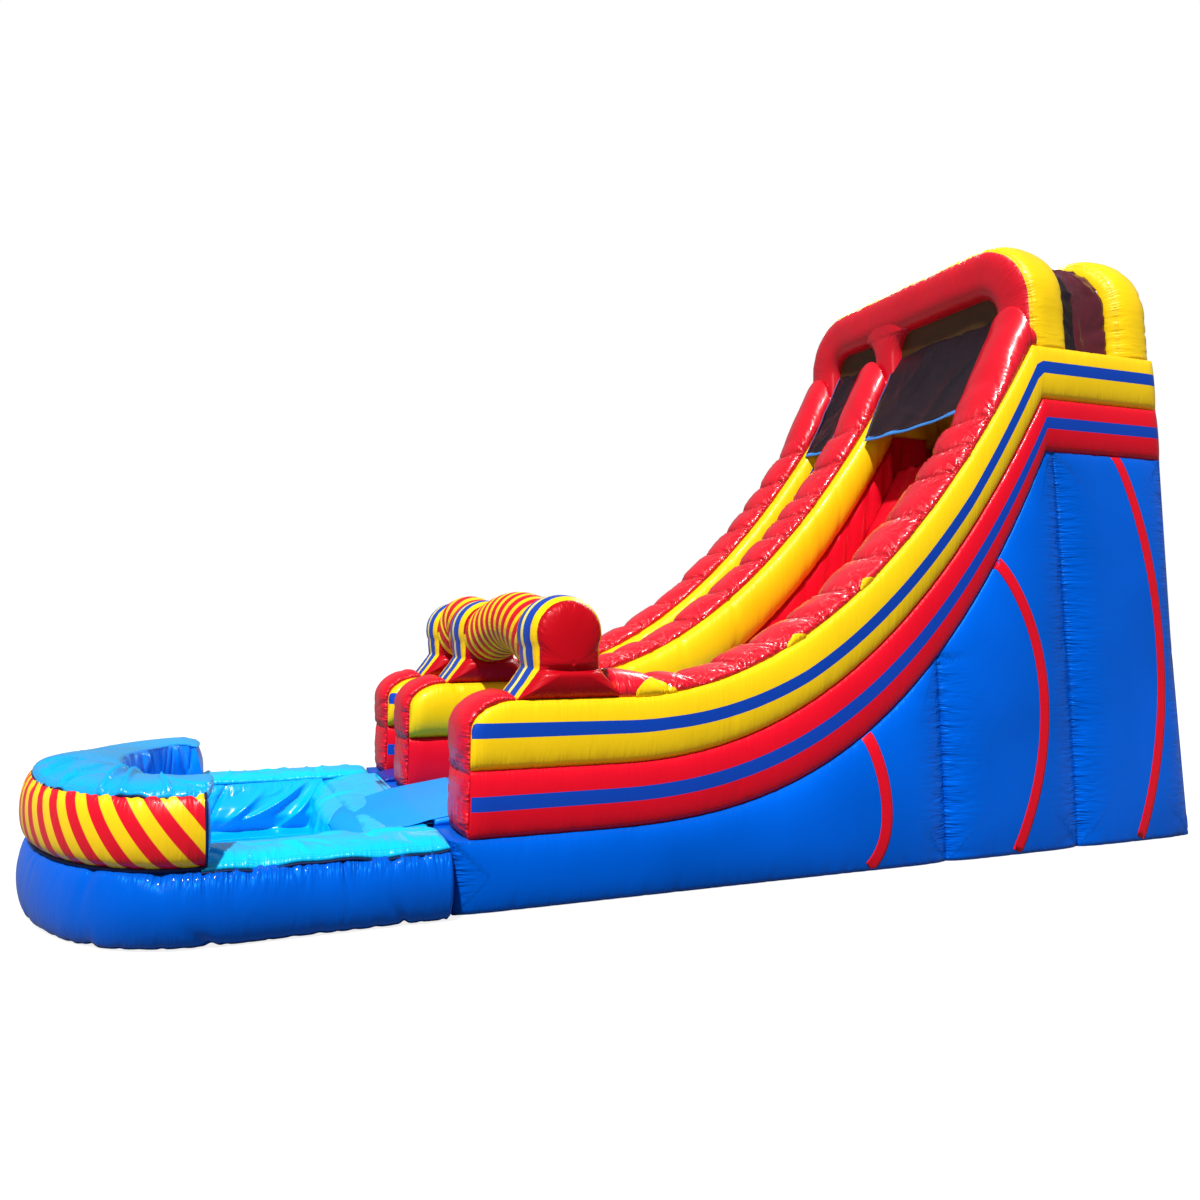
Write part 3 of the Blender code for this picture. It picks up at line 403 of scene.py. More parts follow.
def ridges(u, v, size, count, seed, angle, spread, length, height, width):
    """Long folds of slack cloth, each a ridge that tapers off at both ends."""
    random = np.random.default_rng(seed)
    field = np.zeros(np.broadcast(u, v).shape)
    for number in range(count):
        du = u - (number + random.uniform(0.0, 1.0)) * size[0] / count
        dv = v - random.uniform(size[1], size[2])
        turn = random.normal(angle, spread)
        reach = length * random.uniform(0.5, 1.3)
        lift = height * random.uniform(0.4, 1.2) * (1 if random.uniform() > 0.35 else -0.8)
        along = du * math.cos(turn) + dv * math.sin(turn)
        away = -du * math.sin(turn) + dv * math.cos(turn)
        away = away - 0.25 * along * along / reach * random.uniform(-1.0, 1.0)
        field += lift * bell(along, reach, 3) * bell(away, width * random.uniform(0.6, 1.4), 1.35)
    return field


def soft_noise(points, seed, size):
    """Smooth random waves over points, about one metre high, for slack cloth."""
    random = np.random.default_rng(seed)
    total = np.zeros(points.shape[:-1])
    for _ in range(9):
        direction = unit(random.normal(size=3))
        wave = size * random.uniform(0.6, 1.6)
        total += np.sin((points @ direction) * 2 * math.pi / wave + random.uniform(0, 6.28))
    return total / 4.5


def link(name, data):
    item = bpy.data.objects.new(name, data)
    bpy.context.scene.collection.objects.link(item)
    return item


def mend(mesh, weld=0.0):
    """Turn all faces outward, after joining points that lie closer than the weld."""
    shell = bmesh.new()
    shell.from_mesh(mesh)
    if weld:
        bmesh.ops.remove_doubles(shell, verts=shell.verts, dist=weld)
    bmesh.ops.recalc_face_normals(shell, faces=shell.faces)
    shell.to_mesh(mesh)
    shell.free()


def make_object(name, points, faces, materials, slots=None, marks=None, smooth=True):
    mesh = bpy.data.meshes.new(name)
    points = points + SHIFT
    points[:, 2] = np.maximum(points[:, 2], 0.0)
    mesh.from_pydata(points.tolist(), [], faces)
    for material in materials:
        mesh.materials.append(material)
    if slots is not None:
        mesh.polygons.foreach_set("material_index", np.asarray(slots, np.int32))
    for key, values in (marks or {}).items():
        kind, field = ("FLOAT_VECTOR", "vector") if values.ndim == 2 else ("FLOAT", "value")
        layer = mesh.attributes.new(key, kind, "POINT")
        layer.data.foreach_set(field, np.asarray(values, np.float32).ravel())
    mesh.update()
    item = link(name, mesh)
    mend(mesh)
    if smooth:
        mesh.shade_smooth()
    return item


def end_rings(edge, inner, dome):
    """Rings that close an end: a dome, or two flat steps where the dome is zero."""
    middle = edge.mean(axis=0)
    axis = unit(middle - inner.mean(axis=0))
    rings = []
    steps = 4 if dome else 2
    for step in range(1, steps + 1):
        angle = 0.94 * math.pi / 2 * step / steps
        shrink = math.cos(angle) if dome else 1 - 0.45 * step
        rings.append(middle + (edge - middle) * shrink + axis * dome * math.sin(angle))
    return rings


def skin(name, rings, materials, slots=None, seam=None, stripe=None, domes=(0.0, 0.0), closed=False,
         smooth=True):
    """A closed body through rings of points. Each end is a dome, or flat where its dome is zero."""
    rings = np.asarray(rings, float)
    count, across = rings.shape[:2]
    seam = np.zeros((count, across, 3)) if seam is None else seam
    seam = np.pad(seam, ((0, 0), (0, across - seam.shape[1]), (0, 0)))
    stripe = np.zeros((count, across)) if stripe is None else stripe
    slots = np.zeros((count - 1 + closed, across), int) if slots is None else slots
    if not closed:
        starts = end_rings(rings[0], rings[1], domes[0])
        stops = end_rings(rings[-1], rings[-2], domes[1])
        first, last = len(starts), len(stops)
        rings = np.concatenate([starts[::-1], rings, stops])
        seam = np.pad(seam, ((first, last), (0, 0), (0, 0)), "edge")
        seam[:first, :, 1] += 0.2
        seam[first + count:, :, 1] += 0.2
        stripe = np.pad(stripe, ((first, last), (0, 0)), "edge")
        slots = np.pad(slots, ((first, last), (0, 0)))
    index = np.arange(len(rings) * across).reshape(-1, across)
    after = np.roll(index, -1, 0)
    quads = np.stack([index, np.roll(index, -1, 1), np.roll(after, -1, 1), after], axis=-1)
    faces = quads[:len(slots)].reshape(-1, 4).tolist()
    slots = slots.ravel().tolist()
    if not closed:
        faces += [index[0][::-1].tolist(), index[-1].tolist()]
        slots += [slots[0], slots[-1]]
    marks = {"seam": seam.reshape(-1, 3), "stripe": stripe.ravel()}
    return make_object(name, rings.reshape(-1, 3), faces, materials, slots, marks, smooth)


def sheet(name, grid, materials, thickness, slots=None, seam=None):
    """A thin closed sheet: a grid of points, thickened along its normals."""
    half = normals(grid) * thickness / 2
    rings = np.concatenate([grid + half, (grid - half)[:, ::-1]], axis=1)
    if seam is not None:
        seam = np.concatenate([seam, seam[:, ::-1]], axis=1)
    if slots is not None:
        slots = np.concatenate([slots, slots[:, -1:], slots[:, ::-1], slots[:, :1]], axis=1)
    return skin(name, rings, materials, slots, seam)


def dress(item, node, rides=None):
    """Hang a piece on its body, in place of its solid, or beside it where it only rides along."""
    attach(item, rides or BODY_OF[node])
    if rides is None:
        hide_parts(node)
    return item


def lay_on(points, item, direction, lift):
    """Move each point along a direction until it lies on an item's surface, raised by a lift."""
    mesh = bmesh.new()
    mesh.from_mesh(item.data)
    tree = BVHTree.FromBMesh(mesh)
    mesh.free()
    direction = Vector(direction)
    flat = points.reshape(-1, 3)
    for number, place in enumerate(flat):
        hit = tree.ray_cast(Vector(place + SHIFT) - direction * 2.0, direction)[0]
        if hit is not None:
            flat[number] = np.array(hit - direction * lift) - SHIFT
    return flat.reshape(points.shape)


# Walls

BELOW, INSIDE, ABOVE = 9, 6, 10
LIDS = 3
CREASE_LEAN = 0.06
FAR_FACE_LAG = 0.37


def face_rows(low, high):
    """Shares up a face, in three groups that meet at the stripe's edges."""
    low, high = low[:, None], high[:, None]
    below, inside = (np.linspace(0, 1, count, endpoint=False) for count in (BELOW, INSIDE))
    above = np.linspace(0, 1, ABOVE)
    return np.concatenate([below * low, low + inside * (high - low), high + above * (1 - high)], axis=1)


def wrap_faces(faces, lids):
    """Rings from a near and a far face, with rows of points between them on top and underneath."""
    near, far = faces
    lid = np.linspace(0, 1, lids + 2)[1:-1, None]
    top = near[:, -1:] + (far[:, -1:] - near[:, -1:]) * lid
    foot = far[:, :1] + (near[:, :1] - far[:, :1]) * lid
    return np.concatenate([near, top, far[:, ::-1], foot], axis=1)


def wrap_marks(mark, lids, shift):
    blank = np.zeros((len(mark), lids, 3))
    return np.concatenate([mark, blank, mark[:, ::-1] + [shift, 0, 0]], axis=1)


def chamber(name, xs, side, low, high, puffs, stripe, materials, seed, creases, wrinkle, tucks, striped,
            full=None):
    """A chamber that stands between two heights along xs, with a puffed face on each side."""
    bottom, top = low(xs), high(xs) - GAP
    tall = (full or high)(xs) - bottom
    rows = face_rows(np.clip(stripe[0](xs) * tall / (top - bottom), 0.05, 0.90),
                     np.clip(stripe[1](xs) * tall / (top - bottom), 0.10, 0.98))
    middle = (bottom + top) / 2
    run = travel(stack(xs, middle))
    height = (top - bottom)[:, None]
    flat = np.sqrt(np.clip(1 - np.gradient(middle, run) ** 2, 0.05, 1.0))[:, None]
    away = edge_share(rows) * height * flat
    along = run[:, None]
    faces = []
    for number, (puff, sign) in enumerate(zip(puffs, (-1, 1))):
        bulge = puff(xs)[:, None] * swell(rows, 2.2)
        bulge += pleats(along + FAR_FACE_LAG * number, away, run[-1], seed + number, *tucks)
        for place, depth in creases:
            width = 0.012 + 2.2 * max(depth - 0.01, 0.0)
            bulge -= depth * bell(along - place - CREASE_LEAN * rows, width, 1.3) * swell(rows, 2.0, 1.0)
        faces.append(stack(xs[:, None], side + number * WALL + sign * bulge, bottom[:, None] + height * rows))
    rings = wrap_faces(faces, LIDS)
    slots = np.zeros((len(xs) - 1, rings.shape[1]), int)
    for lit, first in zip(striped, (BELOW, rows.shape[1] + LIDS + ABOVE - 1)):
        slots[:, first:first + INSIDE] = lit
    seam = wrap_marks(stack(along, away, wrinkle), LIDS, 40.0)
    return skin(name, rings, materials, slots, seam, domes=(0.0, 0.02))


def wall_stations(stop):
    first = ROUND_END - ROUND_LENGTH * np.cos(np.linspace(0, math.pi / 2, 12))
    middle = np.arange(ROUND_END + 0.03, stop, 0.03)
    places = np.concatenate([first, middle, [YELLOW_CORNER, RUN_LENGTH, HEADER_FRONT, stop]])
    return np.unique(np.round(places[places <= stop], 4))


def face_puff(size, stop, flat_from=None):
    """How far a wall's face stands out along x: nothing at its ends, nor behind the header."""
    def puff(x):
        share = near_end(x, WALL_FRONT - 0.03, stop, 0.14)
        return size * (share if flat_from is None else share * clamp((flat_from - x) / 0.05))
    return puff


def stripe_edges(places, *edges):
    return [lambda x, edge=edge: np.interp(x, places, edge) for edge in edges]


YELLOW_STRIPE = stripe_edges([0, 1.5, 2.6, 4.2, 5.0, 6.4], [0.47, 0.45, 0.335, 0.33, 0.46, 0.46],
                             [0.695, 0.645, 0.525, 0.54, 0.69, 0.69])
RED_STRIPE = stripe_edges([0, 1], [0.41, 0.41], [0.63, 0.63])
SMALL_TUCKS = (0.16, 0.006, 0.014, 0.07)
LARGE_TUCKS = (0.30, 0.030, 0.016, 0.13)
OUTER_PUFF, YELLOW_PUFF, RED_PUFF = 0.050, 0.105, 0.065
# Where a wall's faces are drawn in, and how deep.
FACE_SEAMS = [(place, 0.006) for place in (1.9, 3.5, 4.9)]
FACE_CELLS = [(place, 0.045) for place in np.arange(0.75, 6.6, 0.42)]


def build_walls():
    for number, (label, side) in enumerate(WALLS, 1):
        stop = HEADER_BACK if label == "middle" else BODY_LENGTH
        striped = (label != "middle", label == "far")
        outer = [label == "near", label == "far"]
        yellow, red = ([face_puff(OUTER_PUFF, stop) if out else face_puff(size, stop, HEADER_FRONT)
                        for out in outer] for size in (YELLOW_PUFF, RED_PUFF))
        xs = wall_stations(stop)
        creases = FACE_CELLS if label == "middle" else FACE_SEAMS
        item = chamber(f"{label}_wall_red_chamber", xs, side, base_line, red_line, red, RED_STRIPE,
                       [RED, STRIPE], 10 * number, creases, 0.3, SMALL_TUCKS, striped)
        dress(item, f"{label}_wall_red")
        tucks = SMALL_TUCKS if label == "near" else LARGE_TUCKS
        item = chamber(f"{label}_wall_yellow_chamber", xs, side, red_line, yellow_top, yellow, YELLOW_STRIPE,
                       [YELLOW, STRIPE], 10 * number + 5, FACE_SEAMS, 0.4, tucks, striped, yellow_line)
        dress(item, f"{label}_wall_yellow")


# Base

# Each arc's upper end, middle and foot, as x and z.
ARCS = {"base_front": ((3.10, 0.99), (3.215, 0.40), (3.07, 0.03)),
        "base_middle": ((4.49, 2.21), (4.78, 1.17), (4.46, 0.03)),
        "base_rear": ((5.86, 3.19), (6.11, 1.55), (5.78, 0.03))}
# Where a fitting is sewn to the back: place across, from and to height, and reach around it.
BACK_SEATS = ((RING_INSET, 0.14, 0.22, 0.06), (WIDTH - RING_INSET, 0.14, 0.22, 0.06),
              (ZIP_Y, 0.50, 1.18, 0.09), (SLEEVE_Y, SLEEVE_Z, SLEEVE_Z, 0.17))
BACK_HOLLOW = 0.055
BASE_PUFF = 0.100
SEAM_TUCKS = (0.075, 0.022, 0.011, 0.14, 0.22)
ARC_HALF_WIDTH = 0.048


def build_base():
    ends = (0.0, *SEAMS, BODY_LENGTH)
    close = np.array([0.004, 0.012])
    for number, (node, start, stop) in enumerate(zip(ARCS, ends, ends[1:])):
        xs = np.concatenate([np.arange(start, stop, 0.024), start + close, stop - close, [stop]])
        item = base_body(node, np.unique(np.round(xs, 4)), start, stop, number)
        dress(item, node)
        for side, y, direction in (("near", -1.0, 1), ("far", WIDTH + 1.0, -1)):
            base_arc(f"{node}_{side}_arc", node, y, direction, item)


def base_body(node, xs, start, stop, number):
    top = base_line(xs)[:, None] - GAP
    rows = eased(44)
    z = top * rows
    x = xs[:, None] + 0 * rows
    ends = near_end(xs, start, stop, 0.34)[:, None]
    to_end = np.minimum(x - start, stop - x)
    to_top = top - z
    to_edge = np.minimum(to_top, z)
    tucks = ((z, x - start, 3.3, 0, *SEAM_TUCKS), (z, stop - x, 3.3, 1, *SEAM_TUCKS),
             (x - start, to_top, stop - start, 2, 0.30, 0.006, 0.016, 0.10),
             (x - start, z, stop - start, 3, 0.15, 0.008, 0.018, 0.09))
    faces = []
    for side, sign in ((0.0, -1), (WIDTH, 1)):
        seed = 100 + number * 10 + (side > 0)
        bulge = BASE_PUFF * ends * swell(0.06 + 0.94 * rows, 2.2)
        bulge = bulge * (0.60 + 0.40 * np.clip(top / 1.2, 0.35, 1.0))
        for along, away, length, extra, *shape in tucks[start == 0:]:
            bulge = bulge + pleats(along, away, length, seed + extra, *shape)
        faces.append(stack(x, side + sign * (bulge - 0.012 * bell(z, 0.012)), z))
    rings = wrap_faces(faces, 7)
    at_end = clamp(1.3 - to_end / np.maximum(to_edge, 0.01))
    mark = stack(np.where(to_end < to_edge, z + 20.0, x), np.minimum(to_end, to_edge), 0.15 + 0.65 * at_end)
    seam = wrap_marks(mark, 7, 50.0)
    if number == 2:
        pull = clamp((rings[..., 0] - stop + 0.5) / 0.5) ** 2
        rings[..., 0] -= BACK_HOLLOW * pull * np.sin(math.pi * rings[..., 2] / BASE_TOWER)
        item = skin("base_rear_chamber", rings, [BASE_BLUE], None, seam, domes=(0.0, -0.08))
        back_panel()
        return item
    return skin(f"{node}_chamber", rings, [BASE_BLUE], None, seam, domes=(0.0 if number else 0.03, 0.0))


def back_panel():
    """The back of the base, puffed in three upright cells and drawn in where fittings are sewn on."""
    y, z = cross_grid(np.linspace(0.0, WIDTH, 118), BASE_TOWER * eased(70))
    cell = WIDTH / 3
    hollow = BACK_HOLLOW * np.sin(math.pi * z / BASE_TOWER)
    bulge = 0.90 * hollow * swell((y % cell) / cell, 2.4)
    distance = np.minimum(y % cell, cell - y % cell)
    bulge += pleats(z, distance, BASE_TOWER, 71, 0.07, 0.008, 0.012, 0.09) * (bulge > 0.002)
    x = BODY_LENGTH - 0.004 + np.maximum(bulge, 0.0) - hollow
    held = 0 * x
    for across, low, high, radius in BACK_SEATS:
        distance_to_seat = np.hypot(y - across, z - np.clip(z, low, high))
        held = np.maximum(held, smooth_step((radius + 0.15 - distance_to_seat) / 0.15))
    x += (BODY_LENGTH + 0.0005 - x) * held
    back = sheet("base_back_panel", stack(x, y, z), [BASE_BLUE], 0.003, None, stack(z, distance, 0.8))
    dress(back, "base_rear", rides="slide")


def base_arc(name, node, y, direction, item):
    """A red strip sewn on the base in a slow curve."""
    start, middle, stop = np.array(ARCS[node])
    t = np.linspace(-0.16, 1, 76)[:, None]
    bend = 2 * middle - 0.5 * (start + stop)
    line = (1 - t) ** 2 * start + 2 * t * (1 - t) * bend + t ** 2 * stop
    line = line[line[:, 1] < base_line(line[:, 0]) + 0.04]
    tangent = unit(np.gradient(line, axis=0))
    widths = np.linspace(-ARC_HALF_WIDTH, ARC_HALF_WIDTH, 7)
    flat = line[:, None, :] + stack(tangent[:, 1], -tangent[:, 0])[:, None, :] * widths[:, None]
    x, z = flat[..., 0], flat[..., 1]
    grid = lay_on(stack(x, y, np.clip(z, 0.02, base_line(x) - 0.006)), item, (0, direction, 0), 0.0025)
    run = np.linspace(0, 3, len(line))[:, None]
    strip = sheet(name, grid, [RED], 0.002, None, stack(run, ARC_HALF_WIDTH - np.abs(widths), 0.1))
    dress(strip, node, rides="slide")


# Bolsters and caps

CROSS = np.concatenate([[0.0, 0.006, 0.018, 0.036], np.linspace(0.06, 0.94, 30), [0.964, 0.982, 0.994, 1.0]])
# Where each bolster is drawn in. The first and last places are moved beyond its ends.
BOLSTER_CREASES = {
    "near": (0.90, 1.50, 1.74, 2.10, 2.42, 2.78, 3.08, 3.42, 3.78, 4.10, 4.30, 4.50, 5.40),
    "middle": (0.90, 1.46, 1.80, 2.10, 2.38, 2.76, 3.14, 3.50, 3.76, 3.96, 4.15, 4.42, 4.68, 5.40),
    "far": (0.90, 1.62, 1.98, 2.30, 2.66, 3.02, 3.36, 3.66, 3.92, 4.14, 4.36, 4.62, 5.40)}
# Corners of the yellow seam allowance: from x, to x, and how far each folds up.
GUSSETS = ((1.24, 1.56, 0.15), (2.46, 2.62, 0.06), (3.12, 3.24, 0.06))
# Depth of a bolster by distance from its upper end.
DEPTH_PLACES = (0.0, 0.3, 0.55, 0.85, 1.05, 1.3)
DEPTHS = (0.225, 0.180, 0.130, 0.108, 0.100, 0.100)
STEEPEST = math.radians(56.5)
UPRIGHT_REACH = 0.70
START_LIFT, START_REACH = 0.065, 0.40
CREASE_BOW, CREASE_SKEW = 0.075, 0.04
NEAR_HANG, FAR_HANG = 0.022, 0.042
PUFF_RUN = 0.77


def pad_foot(base):
    """Three rows of points under a pad, from its far to its near edge."""
    return base[:, None, :] + ACROSS * (WALL * np.linspace(1, 0, 5)[1:-1, None])


def build_bolsters():
    for number, (label, side) in enumerate(WALLS, 41):
        dress(bolster(label, side, number), f"{label}_wall_bolster")


def bolster(label, side, seed):
    """A pad of plump puffs along a wall's top, with one long smooth puff against the header."""
    random = np.random.default_rng(seed)
    fine = np.linspace(1.12, HEADER_FRONT - GAP, 1200)
    ground = yellow_line(fine)
    run = travel(stack(fine, ground))
    total = run[-1]
    s = np.linspace(0, total, 760)
    x = np.interp(s, run, fine)
    left = total - s
    slope = np.arctan(np.interp(s, run, np.gradient(ground, fine)))
    lean = np.minimum(slope, STEEPEST) * (1 - smooth_step(1 - left / UPRIGHT_REACH))
    up = stack(-np.sin(lean), 0, np.cos(lean))[:, None, :]
    depth = np.interp(left, DEPTH_PLACES, DEPTHS)
    crown = (depth + START_LIFT * bell(s, START_REACH)) / np.cos(np.minimum(slope, STEEPEST) - lean)
    creases = np.interp(np.array(BOLSTER_CREASES[label]), fine, run)
    creases[0], creases[-1] = -0.25, total + 0.5
    base = stack(x, side, np.interp(s, run, ground) + GAP)
    t = CROSS
    phase = s[:, None] + CREASE_BOW * np.sin(math.pi * t) + CREASE_SKEW * t - 0.03
    puffs = len(creases) - 1
    number = np.clip(np.searchsorted(creases, phase.ravel(), "right").reshape(phase.shape) - 1, 0, puffs - 1)
    width = creases[number + 1] - creases[number]
    share = clamp((phase - creases[number]) / width)
    puff = swell(share, 2.2, 2.9)
    distance = edge_share(share) * width
    size = random.uniform(0.86, 1.14, puffs)[number]
    heights = crown[:, None] * (1 - (0.20 + 0.36 * t ** 1.3) * (1 - puff)) * (1 + (size - 1) * puff)
    rise = swell(t, 2.1)
    hang = np.sign(t - 0.5) * np.sin(math.pi * rise) ** 0.8 * np.where(t > 0.5, FAR_HANG, NEAR_HANG)
    top = base[:, None, :] + up * (heights * rise)[..., None]
    top = top + ACROSS * (WALL * t + hang * (0.25 + 0.75 * puff))[..., None]
    side_run = edge_share(t) * WALL + rise * heights * 0.75
    normal = normals(top, [0, 0, 1])
    y_run = t * 0.9 + number * PUFF_RUN
    along = s[:, None] + 0 * side_run
    fan = 0.9 * clamp(distance / 0.10) * np.sign(share - 0.5) * side_run
    field = pleats(along + fan, side_run, total, seed + 7, 0.045, 0.012, 0.0075, 0.10, 0.20)
    for place in creases[1:-1]:
        for spread in np.linspace(-1.0, 1.0, 5):
            line = place + 0.045 * spread + 0.9 * spread * side_run * random.uniform(0.6, 1.2)
            fade = bell(side_run, 0.13) * random.uniform(0.5, 1.0)
            field -= 0.022 * fade * bell(along - line, 0.007 + 0.05 * side_run)
    field += pleats(y_run, distance, puffs * PUFF_RUN + 0.9, seed + 8, 0.085, 0.014, 0.011, 0.08, 0.35)
    field += 0.006 * soft_noise(top, seed + 9, 0.35)
    top = top + normal * (field * np.clip(rise * 4, 0.3, 1))[..., None]
    if label == "near":
        gussets(top, normal, x)
    nearest = np.minimum(side_run, distance * 1.2)
    marks = stack(np.where(side_run < distance * 1.2, along, y_run + 11.0), nearest, 1.0)
    rings = np.concatenate([top, pad_foot(base)], axis=1)
    return skin(f"{label}_wall_bolster_pad", rings, [RED_SOFT], None, marks, domes=(0.02, 0.0))


def gussets(top, normal, x):
    """Yellow corners of the wall's seam allowance, which fold up over the bolster's near edge."""
    up = np.linspace(0, 1, 9)
    for number, (start, stop, reach) in enumerate(GUSSETS, 1):
        rows = np.nonzero((x >= start) & (x <= stop))[0][:, None]
        share = (x[rows] - start) / (stop - start)
        tall = reach * (1 - np.abs(2 * share - 1)) + 0.002
        columns = np.interp(tall * up, CROSS, np.arange(len(CROSS)))
        low = np.clip(np.floor(columns).astype(int), 0, len(CROSS) - 2)
        part = (columns - low)[..., None]
        grid = top[rows, low] * (1 - part) + top[rows, low + 1] * part
        lift = 0.006 + 0.010 * np.sin(math.pi * share) * up
        grid = grid + unit(normal[rows, low + 1]) * lift[..., None]
        dress(sheet(f"near_wall_gusset_{number}", grid, [YELLOW], 0.004), "near_wall_yellow", "slide")


CAP_CROWN, LOW_LOBE, HIGH_LOBE = 0.022, 0.030, 0.046
CAP_HANG = 0.018
CAP_FOOT = 0.05


def build_caps():
    legs = np.linspace(0, 1, 44)[:-1]
    arcs = np.linspace(0, math.pi / 2, 30)
    upright = YELLOW_FRONT - ROUND_HEIGHT - BASE_FRONT
    xs = np.concatenate([0 * legs + WALL_FRONT, ROUND_END - ROUND_LENGTH * np.cos(arcs)])
    zs = np.concatenate([BASE_FRONT + upright * legs, YELLOW_FRONT - ROUND_HEIGHT * (1 - np.sin(arcs))]) + GAP
    outs = np.concatenate([stack(0 * legs - 1, 0, 0), stack(-np.cos(arcs), 0, np.sin(arcs))])
    run = travel(stack(xs, zs))
    crease = RED_FRONT - BASE_FRONT
    rest = clamp((run - crease) / (run[-1] - crease))
    tail = 0.4 + 0.6 * clamp((1 - rest) / 0.10) ** 0.5
    lobes = np.where(run < crease, LOW_LOBE * swell(clamp(run / crease)),
                     HIGH_LOBE * swell(0.55 * rest ** 0.5, 2.0, 2.4) * tail)
    crown = (CAP_CROWN + lobes) * np.where(run < CAP_FOOT, 0.35 + 0.65 * run / CAP_FOOT, 1.0)
    t = CROSS
    rise = swell(t, 2.4, 2.3)
    bulge = CAP_HANG * np.sign(t - 0.5) * np.sin(math.pi * clamp(rise)) ** 0.8
    side_run = edge_share(t) * WALL + rise * crown[:, None] * 0.75
    up = spread(run, side_run)
    across = 0.9 * t + 0 * side_run
    distance = np.abs(up - crease)
    tucks = ((up, side_run, run[-1], 0, 0.050, 0.018, 0.008, 0.08, 0.3),
             (up, side_run, run[-1], 5, 0.22, 0.024, 0.014, 0.16, 0.5),
             (across, distance, 0.9, 1, 0.08, 0.012, 0.012, 0.08, 0.3),
             (across, up, 0.9, 6, 0.12, 0.020, 0.016, 0.10, 0.4))
    marks = stack(up, np.minimum(side_run, distance + 0.02), 0.7)
    for seed, (label, side) in enumerate(WALLS, 51):
        base = stack(xs, side, zs) + outs * GAP
        rings = base[:, None, :] + outs[:, None, :] * (crown[:, None] * rise)[..., None]
        rings = rings + ACROSS * (WALL * t + bulge)[:, None]
        normal = normals(rings, outs[:, None, :])
        field = 0.004 * soft_noise(rings, seed + 2, 0.3)
        for along, away, length, extra, *shape in tucks:
            field += pleats(along, away, length, seed + extra, *shape)
        rings = rings + normal * (field * clamp(rise * 3))[..., None]
        rings = np.concatenate([rings, pad_foot(base)], axis=1)
        dress(skin(f"{label}_wall_cap_pad", rings, [RED_CAP], None, marks), f"{label}_wall_cap")


# Columns and the tubes between them

NECK = 0.195
NECK_GROOVE = 0.42
NECK_SIDES, FOOT_SIDES = (0.214, -0.208), (0.395, -0.365)
HEAD_RADII = (0.228, 0.222)
HEAD_OPENING = 0.42
COLUMN_OVERHANG = 0.015
FACE_DOME, FACE_MIDDLE = 0.098, 0.215
RIM_BULGE = 0.040
# Faces are slot 0. The rim's bands: where each ends across the rim, its rows of points and its slot.
RIM_BANDS = ((0.15, 4, 1), (0.43, 5, 2), (0.57, 3, 3), (0.86, 4, 2), (1.0, 4, 1))
RIM_INSET = 0.046


def keyhole():
    """Outline of a column in its own plane, from the near foot corner over the head."""
    foot = YELLOW_FRONT + GAP
    angles = np.linspace(-HEAD_OPENING, math.pi + HEAD_OPENING, 34)
    head = np.array([COLUMN_X, HEAD_Z]) + stack(np.cos(angles), np.sin(angles)) * HEAD_RADII
    right, left = ([(COLUMN_X + FOOT_SIDES[side], foot), (COLUMN_X + NECK_SIDES[side], foot + NECK)]
                   for side in (0, 1))
    corners = [*right, *head, *left[::-1]]
    line = []
    for first, second in zip(np.array(corners), np.array([*corners[1:], corners[0]])):
        pieces = max(int(np.linalg.norm(second - first) / 0.022), 1)
        line += [first + (second - first) * step / pieces for step in range(pieces)]
    return np.array(line)


def build_columns():
    line = keyhole()
    for seed, (label, side) in enumerate(WALLS, 61):
        item = column(label, side - COLUMN_OVERHANG, side + WALL + COLUMN_OVERHANG, line, seed)
        dress(item, f"{label}_column")


